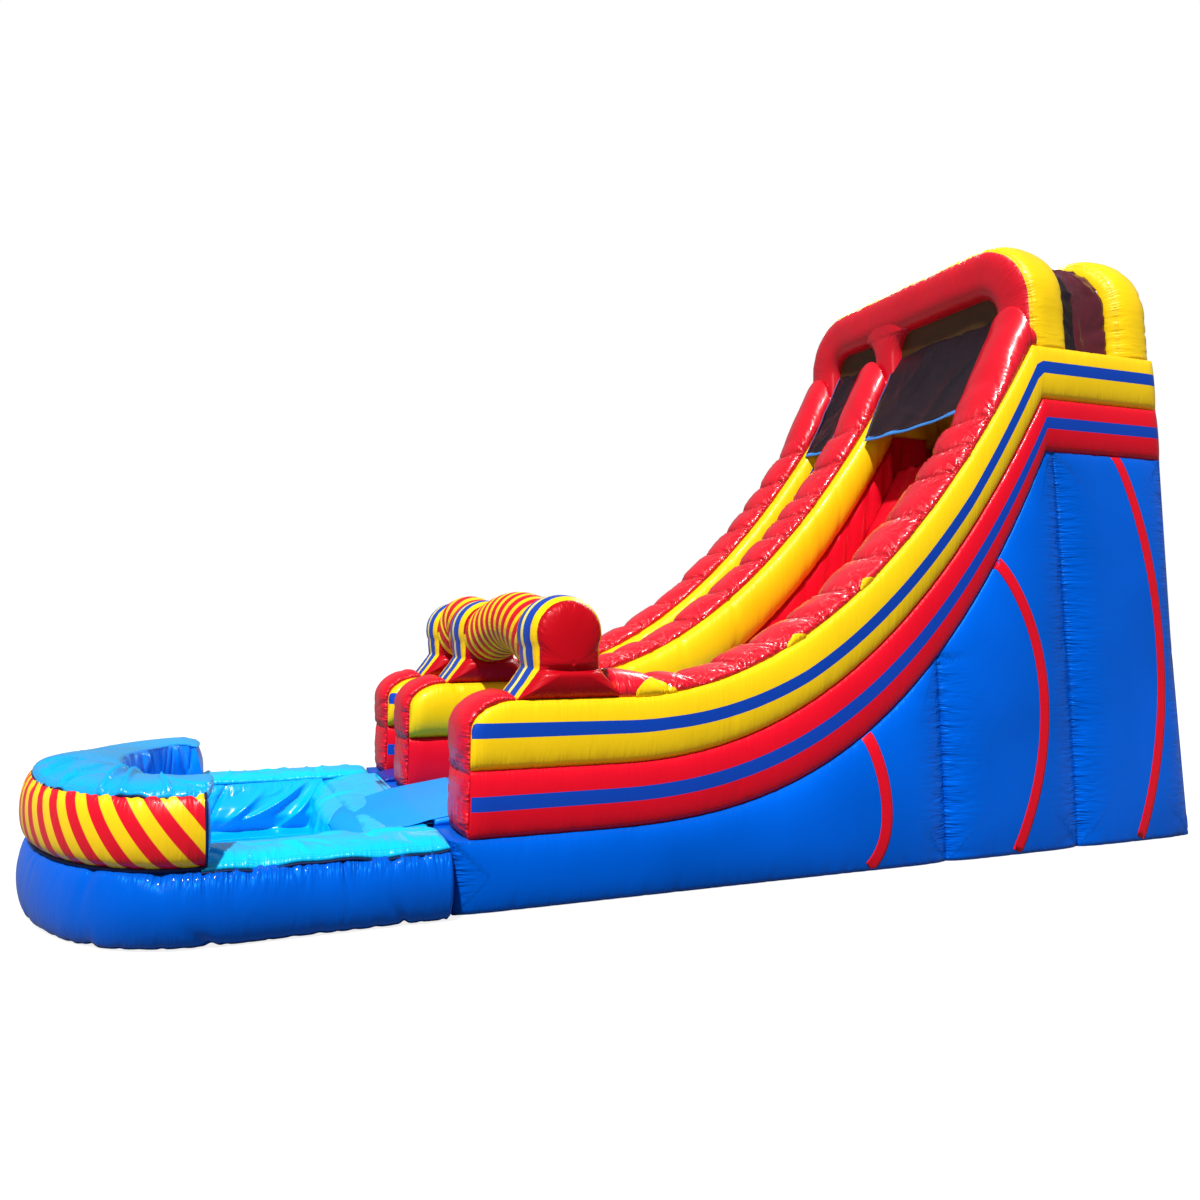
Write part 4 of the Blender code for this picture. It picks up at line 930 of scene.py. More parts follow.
def column(label, y_near, y_far, line, seed):
    """A keyhole pad: domed faces in the darker red and a striped rim that bulges between them."""
    middle = np.array([COLUMN_X, YELLOW_FRONT + FACE_MIDDLE])
    radius = np.linalg.norm(line - middle, axis=1)
    run = travel(line)
    tangent = unit(slopes(line, 0, True))
    out = stack(tangent[:, 1], -tangent[:, 0])
    for _ in range(3):
        out = unit(out + 0.5 * (np.roll(out, 1, 0) + np.roll(out, -1, 0)))
    shares = np.sin(np.linspace(0, math.pi / 2, 24)[:-1])
    faces = [[], []]
    for number, (edge, sign) in enumerate(((y_near, -1), (y_far, 1))):
        for share in shares:
            x, z = (middle + (line - middle) * share).T
            groove = 1 - NECK_GROOVE * bell(z - YELLOW_FRONT - NECK, 0.020) * (share < 0.995)
            field = pleats(run, radius * (1 - share), run[-1], seed + number, 0.045, 0.011, 0.008, 0.055)
            y = edge + sign * (FACE_DOME * swell(0.5 * (1 - share)) * groove + field - RIM_INSET)
            faces[number].append(stack(x, y, z))
    widths, slots, low = [0.0], [], 0.0
    for high, step, colour in RIM_BANDS:
        widths += np.linspace(low, high, step + 1)[1:].tolist()
        slots += [colour] * step
        low = high
    rim = []
    for share in widths:
        bulge = RIM_BULGE * swell(share) * np.clip((line[:, 1] - YELLOW_FRONT) / 0.30, 0.35, 1.0)
        edge = np.full(len(line), min(share, 1 - share) * 0.35)
        bulge = bulge + pleats(run, edge, run[-1], seed + 4, 0.05, 0.008, 0.008, 0.05)
        x, z = (line + out * bulge[:, None]).T
        rim.append(stack(x, y_near + RIM_INSET + (y_far - y_near - 2 * RIM_INSET) * share, z))
    rings = np.array(faces[0] + rim + faces[1][::-1])
    rings[..., 2] = np.maximum(rings[..., 2], YELLOW_FRONT + GAP)
    slot_rows = np.zeros((len(rings) - 1, 1), int)
    slot_rows[len(shares):len(shares) + len(slots), 0] = slots
    away = np.full(len(rings), 0.2)[:, None] + 0 * run
    away[:len(shares)] = radius * (1 - shares[:, None]) * 2.2
    away[-len(shares):] = away[:len(shares)][::-1]
    materials = [RED_DARKER, YELLOW, STRIPE, PALE]
    slots = slot_rows + 0 * rings[:1, :, 0].astype(int)
    return skin(f"{label}_column_pad", rings, materials, slots, stack(run, away, 0.6))


BAND_WIDTHS = (0.62, 0.38)
TUBE_SINK = 0.06
TUBE_RADIUS = 0.226
TUBE_DROP, TUBE_RISE = 0.038, 0.118


def build_tubes():
    """Tubes ringed in red and yellow bands, which hang in an arch between two columns."""
    for name, near, far, pairs, seed in (("slide_lane_tube", NEAR, MIDDLE, 11, 81),
                                         ("climb_lane_tube", MIDDLE, FAR, 5, 82)):
        bands, cells = pairs * 2, 5
        start, stop = near + WALL - TUBE_SINK + GAP, far + TUBE_SINK - GAP
        widths = np.tile(BAND_WIDTHS, pairs)
        edges = np.concatenate([[0.0], np.cumsum(widths)]) / widths.sum()
        within = np.append(np.tile(np.linspace(0, 1, cells + 1)[:-1], bands), 0.0)
        share = np.append(np.repeat(edges[:-1], cells) + np.repeat(np.diff(edges), cells) * within[:-1], 1.0)
        arch_up = np.sin(math.pi * share)
        y = start + (stop - start) * share
        z = HEAD_Z - TUBE_DROP + TUBE_RISE * arch_up ** 1.3 - 0.035 * (1 - share) ** 6
        groove = np.abs(np.sin(math.pi * within)) ** 0.7
        radius = (TUBE_RADIUS * (0.97 + 0.03 * arch_up ** 0.5) * (0.975 + 0.040 * groove))[:, None]
        angles = circle(56)
        cos, sin = np.cos(angles), np.sin(angles)
        lean = -2.2 * np.gradient(z, y)[:, None] * radius * sin + 0.05 * arch_up[:, None] * cos
        turn = angles * 0.22 + 0.3 * share[:, None]
        field = pleats(turn, groove[:, None] * 0.03 + 0 * turn, 1.7, seed, 0.04, 0.004, 0.006, 0.02)
        rings = stack(COLUMN_X + radius * cos, y[:, None] + lean, z[:, None] + radius * sin + field)
        slots = np.repeat(np.arange(bands) % 2, cells)[:, None] + np.zeros(len(angles), int)
        distance = (edge_share(within) * (stop - start) / bands)[:, None]
        band = np.minimum(np.arange(len(share)) // cells, bands - 1)[:, None]
        item = skin(name + "_rings", rings, [RED, YELLOW], slots, stack(angles * 0.24 + band, distance, 0.35))
        dress(item, name)


# Lanes, steps, deck and back walls

# The slide lane is blue at its exit and red from here up.
EXIT_LENGTH = 3.3
CHANNEL_GROOVE = 0.022
CLIMB_CELL = 0.26


def bed_top(x):
    ramp = clamp(np.asarray(x, float) / 0.60)
    return base_line(x) + 0.04 + (BED_THICKNESS - 0.04) * ramp


def build_beds():
    xs = np.linspace(0.0, RUN_LENGTH - GAP, 200)
    for node, near, far, channels in (("slide_bed", WALL + BED_INSET, MIDDLE - BED_INSET, 5),
                                      ("climb_bed", MIDDLE + WALL + BED_INSET, FAR - BED_INSET, 1)):
        wide = channels > 1
        ys = np.linspace(near, far, 61 if wide else 31)
        x, y = cross_grid(xs, ys)
        share = ((ys - near) / (far - near) * channels) % 1
        share[-1] = 1.0
        puff = swell(share, 2.0, 2.2)
        if not wide:
            puff = swell((x / CLIMB_CELL) % 1, 2.0, 2.4) * puff ** 0.3
        lines = np.clip((x - 0.7) / 0.8, 0.04, 1.0) if wide else 1.0
        z = bed_top(x) - CHANNEL_GROOVE * (1 - puff) * lines + 0.002 * soft_noise(stack(x, y, 0 * x), 3, 0.4)
        lower = stack(x, y[:, ::-1], base_line(x) + 0.001)[:, ::30]
        rings = np.concatenate([stack(x, y, z), lower], axis=1)
        distance = edge_share(share) * (far - near) / channels + 0.3 * (x < 1.1) * wide
        slots = ((xs[:-1] > EXIT_LENGTH) & wide).astype(int)[:, None] + np.zeros(rings.shape[1], int)
        materials = [EXIT_BLUE, RED_SOFT] if wide else [NAVY]
        dress(skin(f"{node}_pad", rings, materials, slots, stack(x, distance, 0.5)), node)


STEPS = 6
CLIMB_START = 0.90
STEP_HALF, STEP_HEIGHT = 0.08, 0.085


def build_steps():
    near, far = MIDDLE + WALL + BED_INSET, FAR - BED_INSET
    cell = (RUN_LENGTH - CLIMB_START) / 16
    share = eased(34)[:, None]
    size = 0.5 + 0.5 * swell(share, 4.0)
    angles = np.linspace(0, math.pi, 26)
    across = STEP_HALF * size * np.cos(angles)
    run = angles * STEP_HALF + 0 * across
    away = edge_share(share) * (far - near) + 0 * across
    for number in range(STEPS):
        left = CLIMB_START + cell * (4 + 2 * number)
        foot, head = (float(bed_top(place)) for place in (left, left + cell))
        slope = math.atan2(head - foot, cell)
        up = STEP_HEIGHT * size * np.sin(angles) ** 0.8
        up = up + pleats(run, away, 0.25, 200 + number, 0.03, 0.007, 0.007, 0.05) * (up > 0.01)
        x = left + cell / 2 + across * math.cos(slope) - up * math.sin(slope)
        z = (foot + head) / 2 + across * math.sin(slope) + up * math.cos(slope)
        rings = stack(x, near + (far - near) * share, z)
        item = skin(f"climb_step_{number + 1}_pad", rings, [RED_SOFT], None, stack(run, away, 0.9))
        dress(item, f"climb_step_{number + 1}")


def quads_of(index):
    """Faces of a grid of point numbers."""
    corners = [index[:-1, :-1], index[1:, :-1], index[1:, 1:], index[:-1, 1:]]
    return np.stack(corners, -1).reshape(-1, 4).tolist()


def cushion_box(name, low, high, material, puffs, cells, seed):
    """A box whose faces are puffed between their edges, in cells."""
    low, high = np.array(low, float), np.array(high, float)
    size = high - low
    counts = [max(int(length / 0.035), 6) + 1 for length in size]
    points, faces, seam, total = [], [], [], 0
    for axis in range(3):
        first, second = [other for other in range(3) if other != axis]
        shares = cross_grid(np.linspace(0, 1, counts[first]), np.linspace(0, 1, counts[second]))
        puff, edges = puffs[axis], []
        for share, other in zip(shares, (first, second)):
            within = np.where(share >= 1, 1.0, (share * cells[other]) % 1)
            puff = puff * swell(within, 3.0, 2.2)
            edges.append(edge_share(within) * size[other] / cells[other])
        away = np.minimum(*edges)
        along = np.where(edges[0] < edges[1], shares[1] * size[second], shares[0] * size[first] + 7)
        field = pleats(along, away, 10.0, seed + axis, 0.09, 0.007, 0.012, 0.08) * (puff > 0.003)
        for corner, sign in ((low, -1), (high, 1)):
            grid = np.zeros((*away.shape, 3))
            for share, other in zip(shares, (first, second)):
                grid[..., other] = low[other] + size[other] * share
            grid[..., axis] = corner[axis] + sign * np.maximum(puff + field, 0.0)
            points.append(grid.reshape(-1, 3))
            seam.append(stack(along, away, 0.6).reshape(-1, 3))
            faces += quads_of(np.arange(away.size).reshape(away.shape) + total)
            total += away.size
    item = make_object(name, np.concatenate(points), faces, [material], None, {"seam": np.concatenate(seam)})
    mend(item.data, 0.0005)
    item.data.shade_smooth()
    return item


def build_platform():
    near, far = WALL + GAP, FAR - GAP
    deck = cushion_box("platform_deck_pad", (RUN_LENGTH, near, BASE_TOWER + 0.002),
                       (TOWER_BACK_FRONT - GAP, far, BASE_TOWER + BED_THICKNESS - 0.02), RED, (0, 0, 0.02),
                       (1, 5, 1), 300)
    dress(deck, "platform_deck")
    for name, low, high, material, seed in (("back_wall_red", BASE_TOWER, RED_TOWER, RED, 310),
                                            ("back_wall_yellow", RED_TOWER, YELLOW_TOWER, YELLOW, 320)):
        item = cushion_box(f"{name}_pad", (TOWER_BACK_FRONT, near, low), (BODY_LENGTH, far, high - GAP),
                           material, (0.07, 0.0, 0.0), (1, 8, 1), seed)
        dress(item, name)


# Tower top

HEADER_LEG, REAR_LEG = 0.50, 0.44
DOORWAY_RADIUS = 0.20
FLARE = 0.26
PILLAR_HALF, PILLAR_SPREAD, PILLAR_DEPTH = 0.19, 0.24, 0.231
CORNER_RADIUS = 0.14
ROOF_SINK, ROOF_SAG = 0.12, 0.035
# How far a lane's net runs forward and down, and how far its middle sags.
NET_FALL = np.array([-0.51, -0.88])
NET_SAG = 0.035
TAPE_WIDTH = 0.022


def arch_line(side, radius, top):
    """Line of an arch from its near foot to its far foot."""
    foot = YELLOW_TOWER + GAP
    turn = np.linspace(math.pi, math.pi / 2, 18)
    span = np.linspace(0, 1, 70)[1:35]
    half = np.concatenate([stack(side, foot + (top - radius - foot) * np.linspace(0, 1, 14)[:-1]),
                           stack(side + radius + radius * np.cos(turn), top - radius + radius * np.sin(turn)),
                           stack(side + radius + (WIDTH - 2 * side - 2 * radius) * span, top)])
    return np.concatenate([half, half[::-1] * [-1.0, 1.0] + [WIDTH, 0.0]])


def squarish(angles, power):
    """Points of a rounded square, two to each side of its middle."""
    return [np.sign(part) * np.abs(part) ** (2 / power) for part in (np.cos(angles), np.sin(angles))]


def arch(name, front, depth, leg, materials, seed, squareness):
    """A tube bent over the tower, with puckers along the seam between its face and its outer side."""
    outer = arch_line(0.0, HEADER_RADIUS, HEADER_TOP)
    inner = arch_line(leg, DOORWAY_RADIUS, DOORWAY_TOP)
    run = travel(outer)
    angles = circle(72)
    inward, back = squarish(angles, squareness)
    flat = outer[:, None, :] + (inner - outer)[:, None, :] * (0.5 - 0.5 * inward)[:, None]
    rings = stack(front + depth * (0.5 - 0.5 * back), flat[..., 0], flat[..., 1])
    from_inside = np.abs(angles - math.pi)
    corner = math.pi - 1.02 * math.pi / 4
    along = spread(run, angles)
    away = np.abs(from_inside - corner) * 0.27 + 0 * along
    field = pleats(along, away, run[-1], seed, 0.075, 0.013, 0.011, 0.12, 0.3)
    field += pleats(along, from_inside * 0.2 + 0 * along, run[-1], seed + 1, 0.11, 0.006, 0.018, 0.10, 0.15)
    field += 0.006 * soft_noise(rings, seed + 2, 0.5)
    hold = clamp((rings[..., 2] - YELLOW_TOWER) / 0.05)
    rings = rings + outward(rings) * (field * hold)[..., None]
    rings[..., 2] = np.maximum(rings[..., 2], YELLOW_TOWER + GAP)
    slots = (from_inside > corner) * (len(materials) - 1) + np.zeros((len(run) - 1, 1), int)
    return skin(name, rings, materials, slots, stack(along, away, 0.9))


def build_tower():
    header = arch("header_arch_tube", HEADER_FRONT - 0.03, 0.47, HEADER_LEG, [RED_SOFT, YELLOW], 400, 3.0)
    dress(header, "header_arch")
    dress(header_leg(), "header_arch", rides="slide")
    rear = arch("rear_arch_tube", TOWER_BACK_FRONT + 0.045, 0.475, REAR_LEG, [YELLOW], 420, 2.4)
    dress(rear, "rear_arch")


def header_leg():
    """The red pillar between the two doorways, which widens into the beam above."""
    z = np.concatenate([np.linspace(YELLOW_TOWER + GAP, DOORWAY_TOP - FLARE, 12),
                        np.linspace(DOORWAY_TOP - FLARE, DOORWAY_TOP + 0.20, 52)[1:]])[:, None]
    lift = np.clip((z - DOORWAY_TOP - 0.03 + FLARE) / FLARE, 0.0, 0.98)
    half = PILLAR_HALF + PILLAR_SPREAD * (1 - np.sqrt(1 - lift ** 2))
    angles = circle(64)
    forward, across = squarish(angles, 3.0)
    sunk = clamp((z - DOORWAY_TOP - 0.14) / 0.06) ** 1.5
    x = HEADER_FRONT + 0.205 + (PILLAR_DEPTH - 0.08 * sunk) * forward
    rings = stack(x, MIDDLE + 0.08 + half * across, z)
    away = np.abs(z - DOORWAY_TOP)
    field = pleats(angles * 0.24, away, 1.5, 431, 0.08, 0.004, 0.010, 0.10)
    rings = rings + outward(rings) * field[..., None]
    return skin("header_arch_pillar", rings, [RED_SOFT], None, stack(angles * 0.24, away, 0.7))


def build_meshes():
    roof_mesh()
    for node, near, far in (("slide_window_mesh", WALL, MIDDLE), ("climb_window_mesh", MIDDLE + 0.20, FAR)):
        panel(node, near + GAP, far - GAP, DOORWAY_TOP - 0.28, DOORWAY_TOP + 0.04, HEADER_FRONT + 0.09, WINDOW)
    panel("rear_mesh", REAR_LEG, WIDTH - REAR_LEG, YELLOW_TOWER + 0.001, DOORWAY_TOP - GAP,
          TOWER_BACK_FRONT + 0.22, NET)
    for node, near, far, seed in (("slide_net", WALL, MIDDLE, 501), ("climb_net", MIDDLE + WALL, FAR, 502)):
        lane_net(node, near, far, seed)


def panel(node, near, far, foot, top, x, material):
    """A mesh stretched in an opening whose upper corners are round."""
    y, z = cross_grid(np.linspace(near, far, 40), np.linspace(foot, top, 16))
    corner = clamp(1 - np.minimum(y - near, far - y) / CORNER_RADIUS)
    limit = top - CORNER_RADIUS * (1 - np.sqrt(1 - corner ** 2))
    z = foot + (z - foot) * (limit - foot) / (top - foot)
    sag = 0.012 * np.sin(math.pi * (y - near) / (far - near)) * np.sin(math.pi * (z - foot) / (top - foot))
    grid = stack(x + sag, y, z)
    item = dress(sheet(f"{node}_cloth", grid, [material], 0.002), node)
    min(cloth_area(grid), (far - near) * (top - foot))


def cloth_area(grid):
    ahead = grid[1:, :-1] - grid[:-1, :-1], grid[1:, 1:] - grid[:-1, 1:]
    aside = grid[:-1, 1:] - grid[:-1, :-1], grid[1:, 1:] - grid[1:, :-1]
    return float(sum(np.linalg.norm(np.cross(*pair), axis=-1).sum() / 2 for pair in zip(ahead, aside)))


def roof_mesh():
    """Cloth over the space between the arches, drawn in between them."""
    line = arch_line(0.0, HEADER_RADIUS, HEADER_TOP)
    slope = np.gradient(line, axis=0)
    normal = unit(stack(-slope[:, 1], slope[:, 0]))
    run = travel(line)
    xs = np.linspace(HEADER_BACK - 0.03, TOWER_BACK_FRONT + 0.03, 26)
    width = xs[-1] - xs[0]
    sag = ROOF_SINK + ROOF_SAG * np.sin(math.pi * (xs - xs[0]) / width)
    flat = line[:, None, :] - normal[:, None, :] * sag[:, None]
    grid = stack(xs, flat[..., 0], flat[..., 1])
    along, x = spread(run, xs), xs + 0 * run[:, None]
    field = pleats(along, np.minimum(x - xs[0], xs[-1] - x), run[-1], 511, 0.12, 0.026, 0.020, 0.16, 0.5)
    field += ridges(along, x - xs[0], (run[-1], 0.12, 0.42), 30, 513, 0.9, 0.6, 0.20, 0.034, 0.026)
    field += 0.012 * soft_noise(grid, 512, 0.40)
    grid = grid + stack(0, normal[:, 0], normal[:, 1])[:, None, :] * field[..., None]
    grid[..., 2] = np.maximum(grid[..., 2], YELLOW_TOWER + 0.002)
    # Painted shadow: the nine columns beside the header arch take the dark net material, as the header's shadow
    # on the roof mesh.
    slots = np.zeros((len(line) - 1, len(xs) - 1), int)
    slots[:, :9] = 1
    item = dress(sheet("roof_mesh_cloth", grid, [ROOF, NET], 0.003, slots), "roof_mesh")
    cloth_area(grid) / (width + 0.02)


def lane_net(node, near, far, seed):
    """The net over a lane, slack between its edges, with webbing on its foot and sides."""
    top = np.array([HEADER_FRONT + 0.10, DOORWAY_TOP - 0.21])
    share, y = cross_grid(np.linspace(0, 1, 30), np.linspace(near + 0.004, far - 0.004, 46))
    y = near + (y - near) * (1 - 0.07 * share)
    line = top + NET_FALL * share[..., None]
    out = np.array([NET_FALL[1], -NET_FALL[0]]) / math.hypot(*NET_FALL)
    middle = (y - near) / (far - near)
    sag = -NET_SAG * np.sin(math.pi * middle) * np.sin(math.pi * share * 0.8)
    sag += ridges(y - near, 1.02 * share, (far - near, 0.1, 0.9), 9, seed + 5, 1.1, 0.7, 0.30, 0.014, 0.030)
    sag += 0.010 * soft_noise(stack(line[..., 0], y, line[..., 1]), seed, 0.5)
    line = line + out * sag[..., None]
    dip = (0.012 * np.sin(math.pi * middle) + 0.03 * middle) * share
    grid = stack(line[..., 0], y, line[..., 1] - dip)
    item = dress(sheet(f"{node}_cloth", grid, [NET], 0.003), node)
    cloth_area(grid) / (far - near)
    steps = ((0.004, 0, 0.010), (-0.006, 0, -0.006), (-0.018, 0, -0.030))
    strip = np.stack([grid[-1] + step for step in steps], axis=1)
    dress(sheet(f"{node}_webbing_band", strip, [BLUE_WEB], 0.004), f"{node}_webbing")
    for label, column, sign, material in (("near", 0, 1, BLUE_WEB), ("far", -1, -1, NAVY_WEB)):
        side = grid[:, column] + np.array([out[0], 0.0, out[1]]) * 0.006
        strip = np.stack([side, side + [0, sign * TAPE_WIDTH, 0]], axis=1)
        dress(sheet(f"{node}_{label}_tape", strip, [material], 0.003), f"{node}_webbing", "slide")


# Splash pool

def pool_path(inset, start, counts):
    """Line round the pool: near side, round end and far side, at a distance inside the outer edge."""
    half, depth = POOL_HALF - inset, POOL_ROUND - inset
    angles = np.linspace(-math.pi / 2, math.pi / 2, counts[1])
    turn = stack(POOL_CENTRE_X - depth * np.cos(angles), POOL_MIDDLE_Y + half * np.sin(angles))
    near, far = (stack(np.linspace(start, POOL_CENTRE_X, count)[:-1], POOL_MIDDLE_Y + sign * half)
                 for count, sign in ((counts[0], -1), (counts[-1], 1)))
    return np.concatenate([near, turn, far[::-1]])


def path_frame(start, counts):
    """Outer and inner line round the pool, the way outward and the distance along."""
    outer, inner = (pool_path(inset, start, counts) for inset in (0.0, POOL_WIDTH))
    return outer, inner, unit(outer - inner), travel(outer)


def ring_body(name, path, profile, materials, seam, stripe=None, domes=(0.0, 0.0), field=None):
    """Sweep a profile round the pool: share of the wall's width inward, distance outward, height."""
    outer, inner, out, _ = path
    inward, bulge, height = profile
    flat = outer[:, None] + (inner - outer)[:, None] * inward[..., None] + out[:, None] * bulge[..., None]
    rings = stack(flat[..., 0], flat[..., 1], height)
    if field is not None:
        rings = rings + outward(rings) * field[..., None]
    return skin(name, arm_slump(rings), materials, None, seam, stripe, domes)


def arm_slump(points):
    """The far arm stands lower than the near one and its end leans back."""
    points = points.copy()
    far = smooth_step((points[..., 1] - POOL_MIDDLE_Y) / 1.2)
    near = clamp((0.9 - points[..., 1]) / 0.8)
    up = np.maximum(points[..., 2] - POOL_HEIGHT, 0.0)
    end = clamp((points[..., 0] - ARM_X + 0.30) / 0.30)
    points[..., 0] -= (0.09 * far + 0.03 * near) * end * (up / 0.45) ** 2
    points[..., 2] -= up * (0.12 * far + 0.06 * far * end ** 3 - 0.03 * near)
    return points


def seam_shadow_bead(name, node, line, radius=0.008):
    """A thin bead along the join between two pool pieces, in dark blue: painted shadow in the seam line."""
    ahead = unit(np.gradient(line, axis=0))
    upright = np.where(np.abs(ahead[:, 2:]) > 0.8, [[0.0, 1.0, 0.0]], [[0.0, 0.0, 1.0]])
    side = unit(np.cross(ahead, upright))
    up = np.cross(side, ahead)
    angles = circle(8)[:, None]
    rings = line[:, None] + radius * (side[:, None] * np.cos(angles) + up[:, None] * np.sin(angles))
    dress(skin(name, rings, [SEAM_SHADOW_BLUE]), node, "pool")


WALL_PUFF = 0.105
SHADOW_BEAD_RADIUS = 0.012


def pool_wall():
    path = path_frame(POOL_NEAR_X, (230, 190, 70))
    outer, _, out, run = path
    v = eased(46)
    puff = WALL_PUFF * swell(0.04 + 0.96 * v, 2.0, 1.7) - 0.022 * bell(v * POOL_HEIGHT, 0.014)
    puff = puff - 0.016 * bell((1 - v) * POOL_HEIGHT, 0.012)
    inward = np.concatenate([0 * v, [0.25, 0.5, 0.75, 1.0, 1.0, 0.8, 0.5, 0.2]])
    height = np.concatenate([POOL_HEIGHT * v, [POOL_HEIGHT - 0.004] * 4, [0.001] * 4])
    along = spread(run, inward)
    up = height + 0 * along
    to_top = POOL_HEIGHT - up
    front = np.pad(0 * v + 1, (0, 8))
    straight = clamp((1.9 - run) / 0.4)[:, None]
    bulge = np.pad(puff, (0, 8)) * (0.66 + 0.34 * clamp((2.3 - along) / 0.9))
    field = 0.005 * soft_noise(stack(along, to_top, 0), 603, 0.7)
    for away, amount, *shape in ((to_top, straight, 601, 0.034, 0.011, 0.0065, 0.055, 0.10),
                                 (to_top, 0.25 + 0.75 * straight, 604, 0.13, 0.016, 0.012, 0.11, 0.30),
                                 (to_top, 1, 606, 0.45, 0.020, 0.030, 0.16, 0.30),
                                 (up, 1, 602, 0.75, 0.022, 0.030, 0.10, 0.5),
                                 (up, 1, 605, 0.12, 0.008, 0.020, 0.05, 0.3)):
        field += amount * pleats(along, away, run[-1], *shape)
    away = np.minimum(to_top, up) * front + (1 - front)
    marks = stack(along, away, 0.3 + 1.3 * straight * bell(to_top, 0.12))
    item = ring_body("pool_wall_tube", path, (inward, bulge, height), [ROYAL], marks, None, (0.035, 0.035),
                     field * front)
    dress(item, "pool_wall")
    # Painted shadow: a dark bead along the bumper's foot, where it meets the pool wall.
    arm = outer[:, 0] < ARM_X
    foot = (outer + out * SHADOW_BEAD_RADIUS)[arm]
    seam_shadow_bead("bumper_foot_seam_shadow", "bumper_wall", stack(foot[:, 0], foot[:, 1], POOL_HEIGHT + 0.004), SHADOW_BEAD_RADIUS)


STRIPE_PITCH, STRIPE_LEAN = 0.196, 0.78
BUMPER_PUFF = 0.085
COVER_CROWN, COVER_DROP = 0.066, 0.040
RIM_CROWN = 0.062


def pool_bumper():
    path = path_frame(ARM_X, (14, 210))
    outer, _, out, run = path
    base = POOL_HEIGHT + GAP
    tall = BUMPER_TOP - base
    v = eased(32)
    puff = BUMPER_PUFF * swell(v, 2.2) - 0.02 * bell(v, 0.08)
    height = np.concatenate([base + tall * v, [BUMPER_TOP - 0.002] * 3, [base + 0.001] * 3])
    inward = np.concatenate([0 * v, [0.33, 0.66, 1.0, 1.0, 0.66, 0.33]])
    along = spread(run, height)
    front = np.pad(0 * v + 1, (0, 6))
    to_top, to_base = BUMPER_TOP - height + 0 * along, height - base + 0 * along
    field = pleats(along, to_top, run[-1], 611, 0.075, 0.013, 0.012, 0.075, 0.25) * front
    field += pleats(along, to_base, run[-1], 612, 0.10, 0.009, 0.014, 0.07, 0.2) * front
    away = np.minimum(to_top, to_base) * front + (1 - front)
    climbed = np.pad(travel(stack(puff, tall * v)), (0, 6))
    stripe = (along - STRIPE_LEAN * climbed) / STRIPE_PITCH + 0.25
    item = ring_body("bumper_wall_tube", path, (inward, np.pad(puff, (0, 6)), height), [BUMPER, AQUA_IN_SHADE],
                     stack(along, away, 0.8), stripe, (0.030, 0.030), field)
    # Painted shade: the faces at each arm's end that point away from the sun take the darker blue.
    for polygon in item.data.polygons:
        if polygon.center.x > ARM_X + SHIFT[0] - 0.10 and polygon.normal.x > 0.45:
            polygon.material_index = 1
    dress(item, "bumper_wall")
    # Painted shadow: dark beads up the seam at each arm's end.
    for number, end in ((1, 0), (2, -1)):
        edge = outer[end] + out[end] * (puff[:, None] + 0.002)
        line = stack(edge[:, 0] + 0.004, edge[:, 1], base + tall * v)
        seam_shadow_bead(f"bumper_end_seam_shadow_{number}", "bumper_wall", arm_slump(line))
    bumper_cover(path)
    bumper_lining()


def bumper_cover(path):
    """The light blue pad on the bumper, with slack folds and a hem that hangs over the stripes."""
    outer, _, out, run = path
    t = np.linspace(0, 1, 48) ** 1.15
    rise = swell(t, 2.2)
    part = run / run[-1]
    crown = COVER_CROWN - COVER_DROP * clamp((part - 0.45) / 0.30)[:, None]
    hem = 0.010 * np.sin(run * 9 + 1.0) + 0.008 * np.sin(run * 21 + 2.0) + 0.006 * np.sin(run * 47) + 0.016
    hem = clamp(hem) * (1 - 0.92 * clamp((part - 0.26) / 0.16))
    calm = clamp((part - 0.34) / 0.14)[:, None]
    along = spread(run, t)
    across = t * POOL_WIDTH + 0 * along
    folds = ridges(along, across, (run[-1], 0.06, 0.30), 20, 622, 1.00, 0.35, 0.26, 0.060, 0.014)
    folds += pleats(along, across, run[-1], 623, 0.16, 0.009, 0.013, 0.09, 0.6)
    folds += pleats(along, POOL_WIDTH - across, run[-1], 625, 0.16, 0.010, 0.026, 0.16, 0.4)
    folds += 0.009 * soft_noise(stack(along, across, 0), 624, 0.55)
    lift = crown * rise - hem[:, None] * bell(t, 0.05) + folds * clamp(rise * 1.5) * (1 - 0.88 * calm)
    height = BUMPER_TOP + GAP + np.pad(lift, ((0, 0), (0, 3)))
    bulge = np.pad(0.026 * bell(t, 0.09) - 0.030 * bell(1 - t, 0.10), (0, 3))
    inward = np.concatenate([t, [0.75, 0.5, 0.25]])
    marks = stack(along, np.minimum(across, POOL_WIDTH - across), 0.35)
    item = ring_body("bumper_top_pad", path, (inward, bulge, height), [COVER_BLUE], marks, None, (0.05, 0.05))
    dress(item, "bumper_top")
    # Painted shadow: a dark bead under the hem, where the cover's shadow falls on the stripes.
    edge = outer + out * 0.018
    line = stack(edge[:, 0], edge[:, 1], BUMPER_TOP - hem - 0.004)
    seam_shadow_bead("bumper_top_seam_shadow", "bumper_top", arm_slump(line), 0.010)


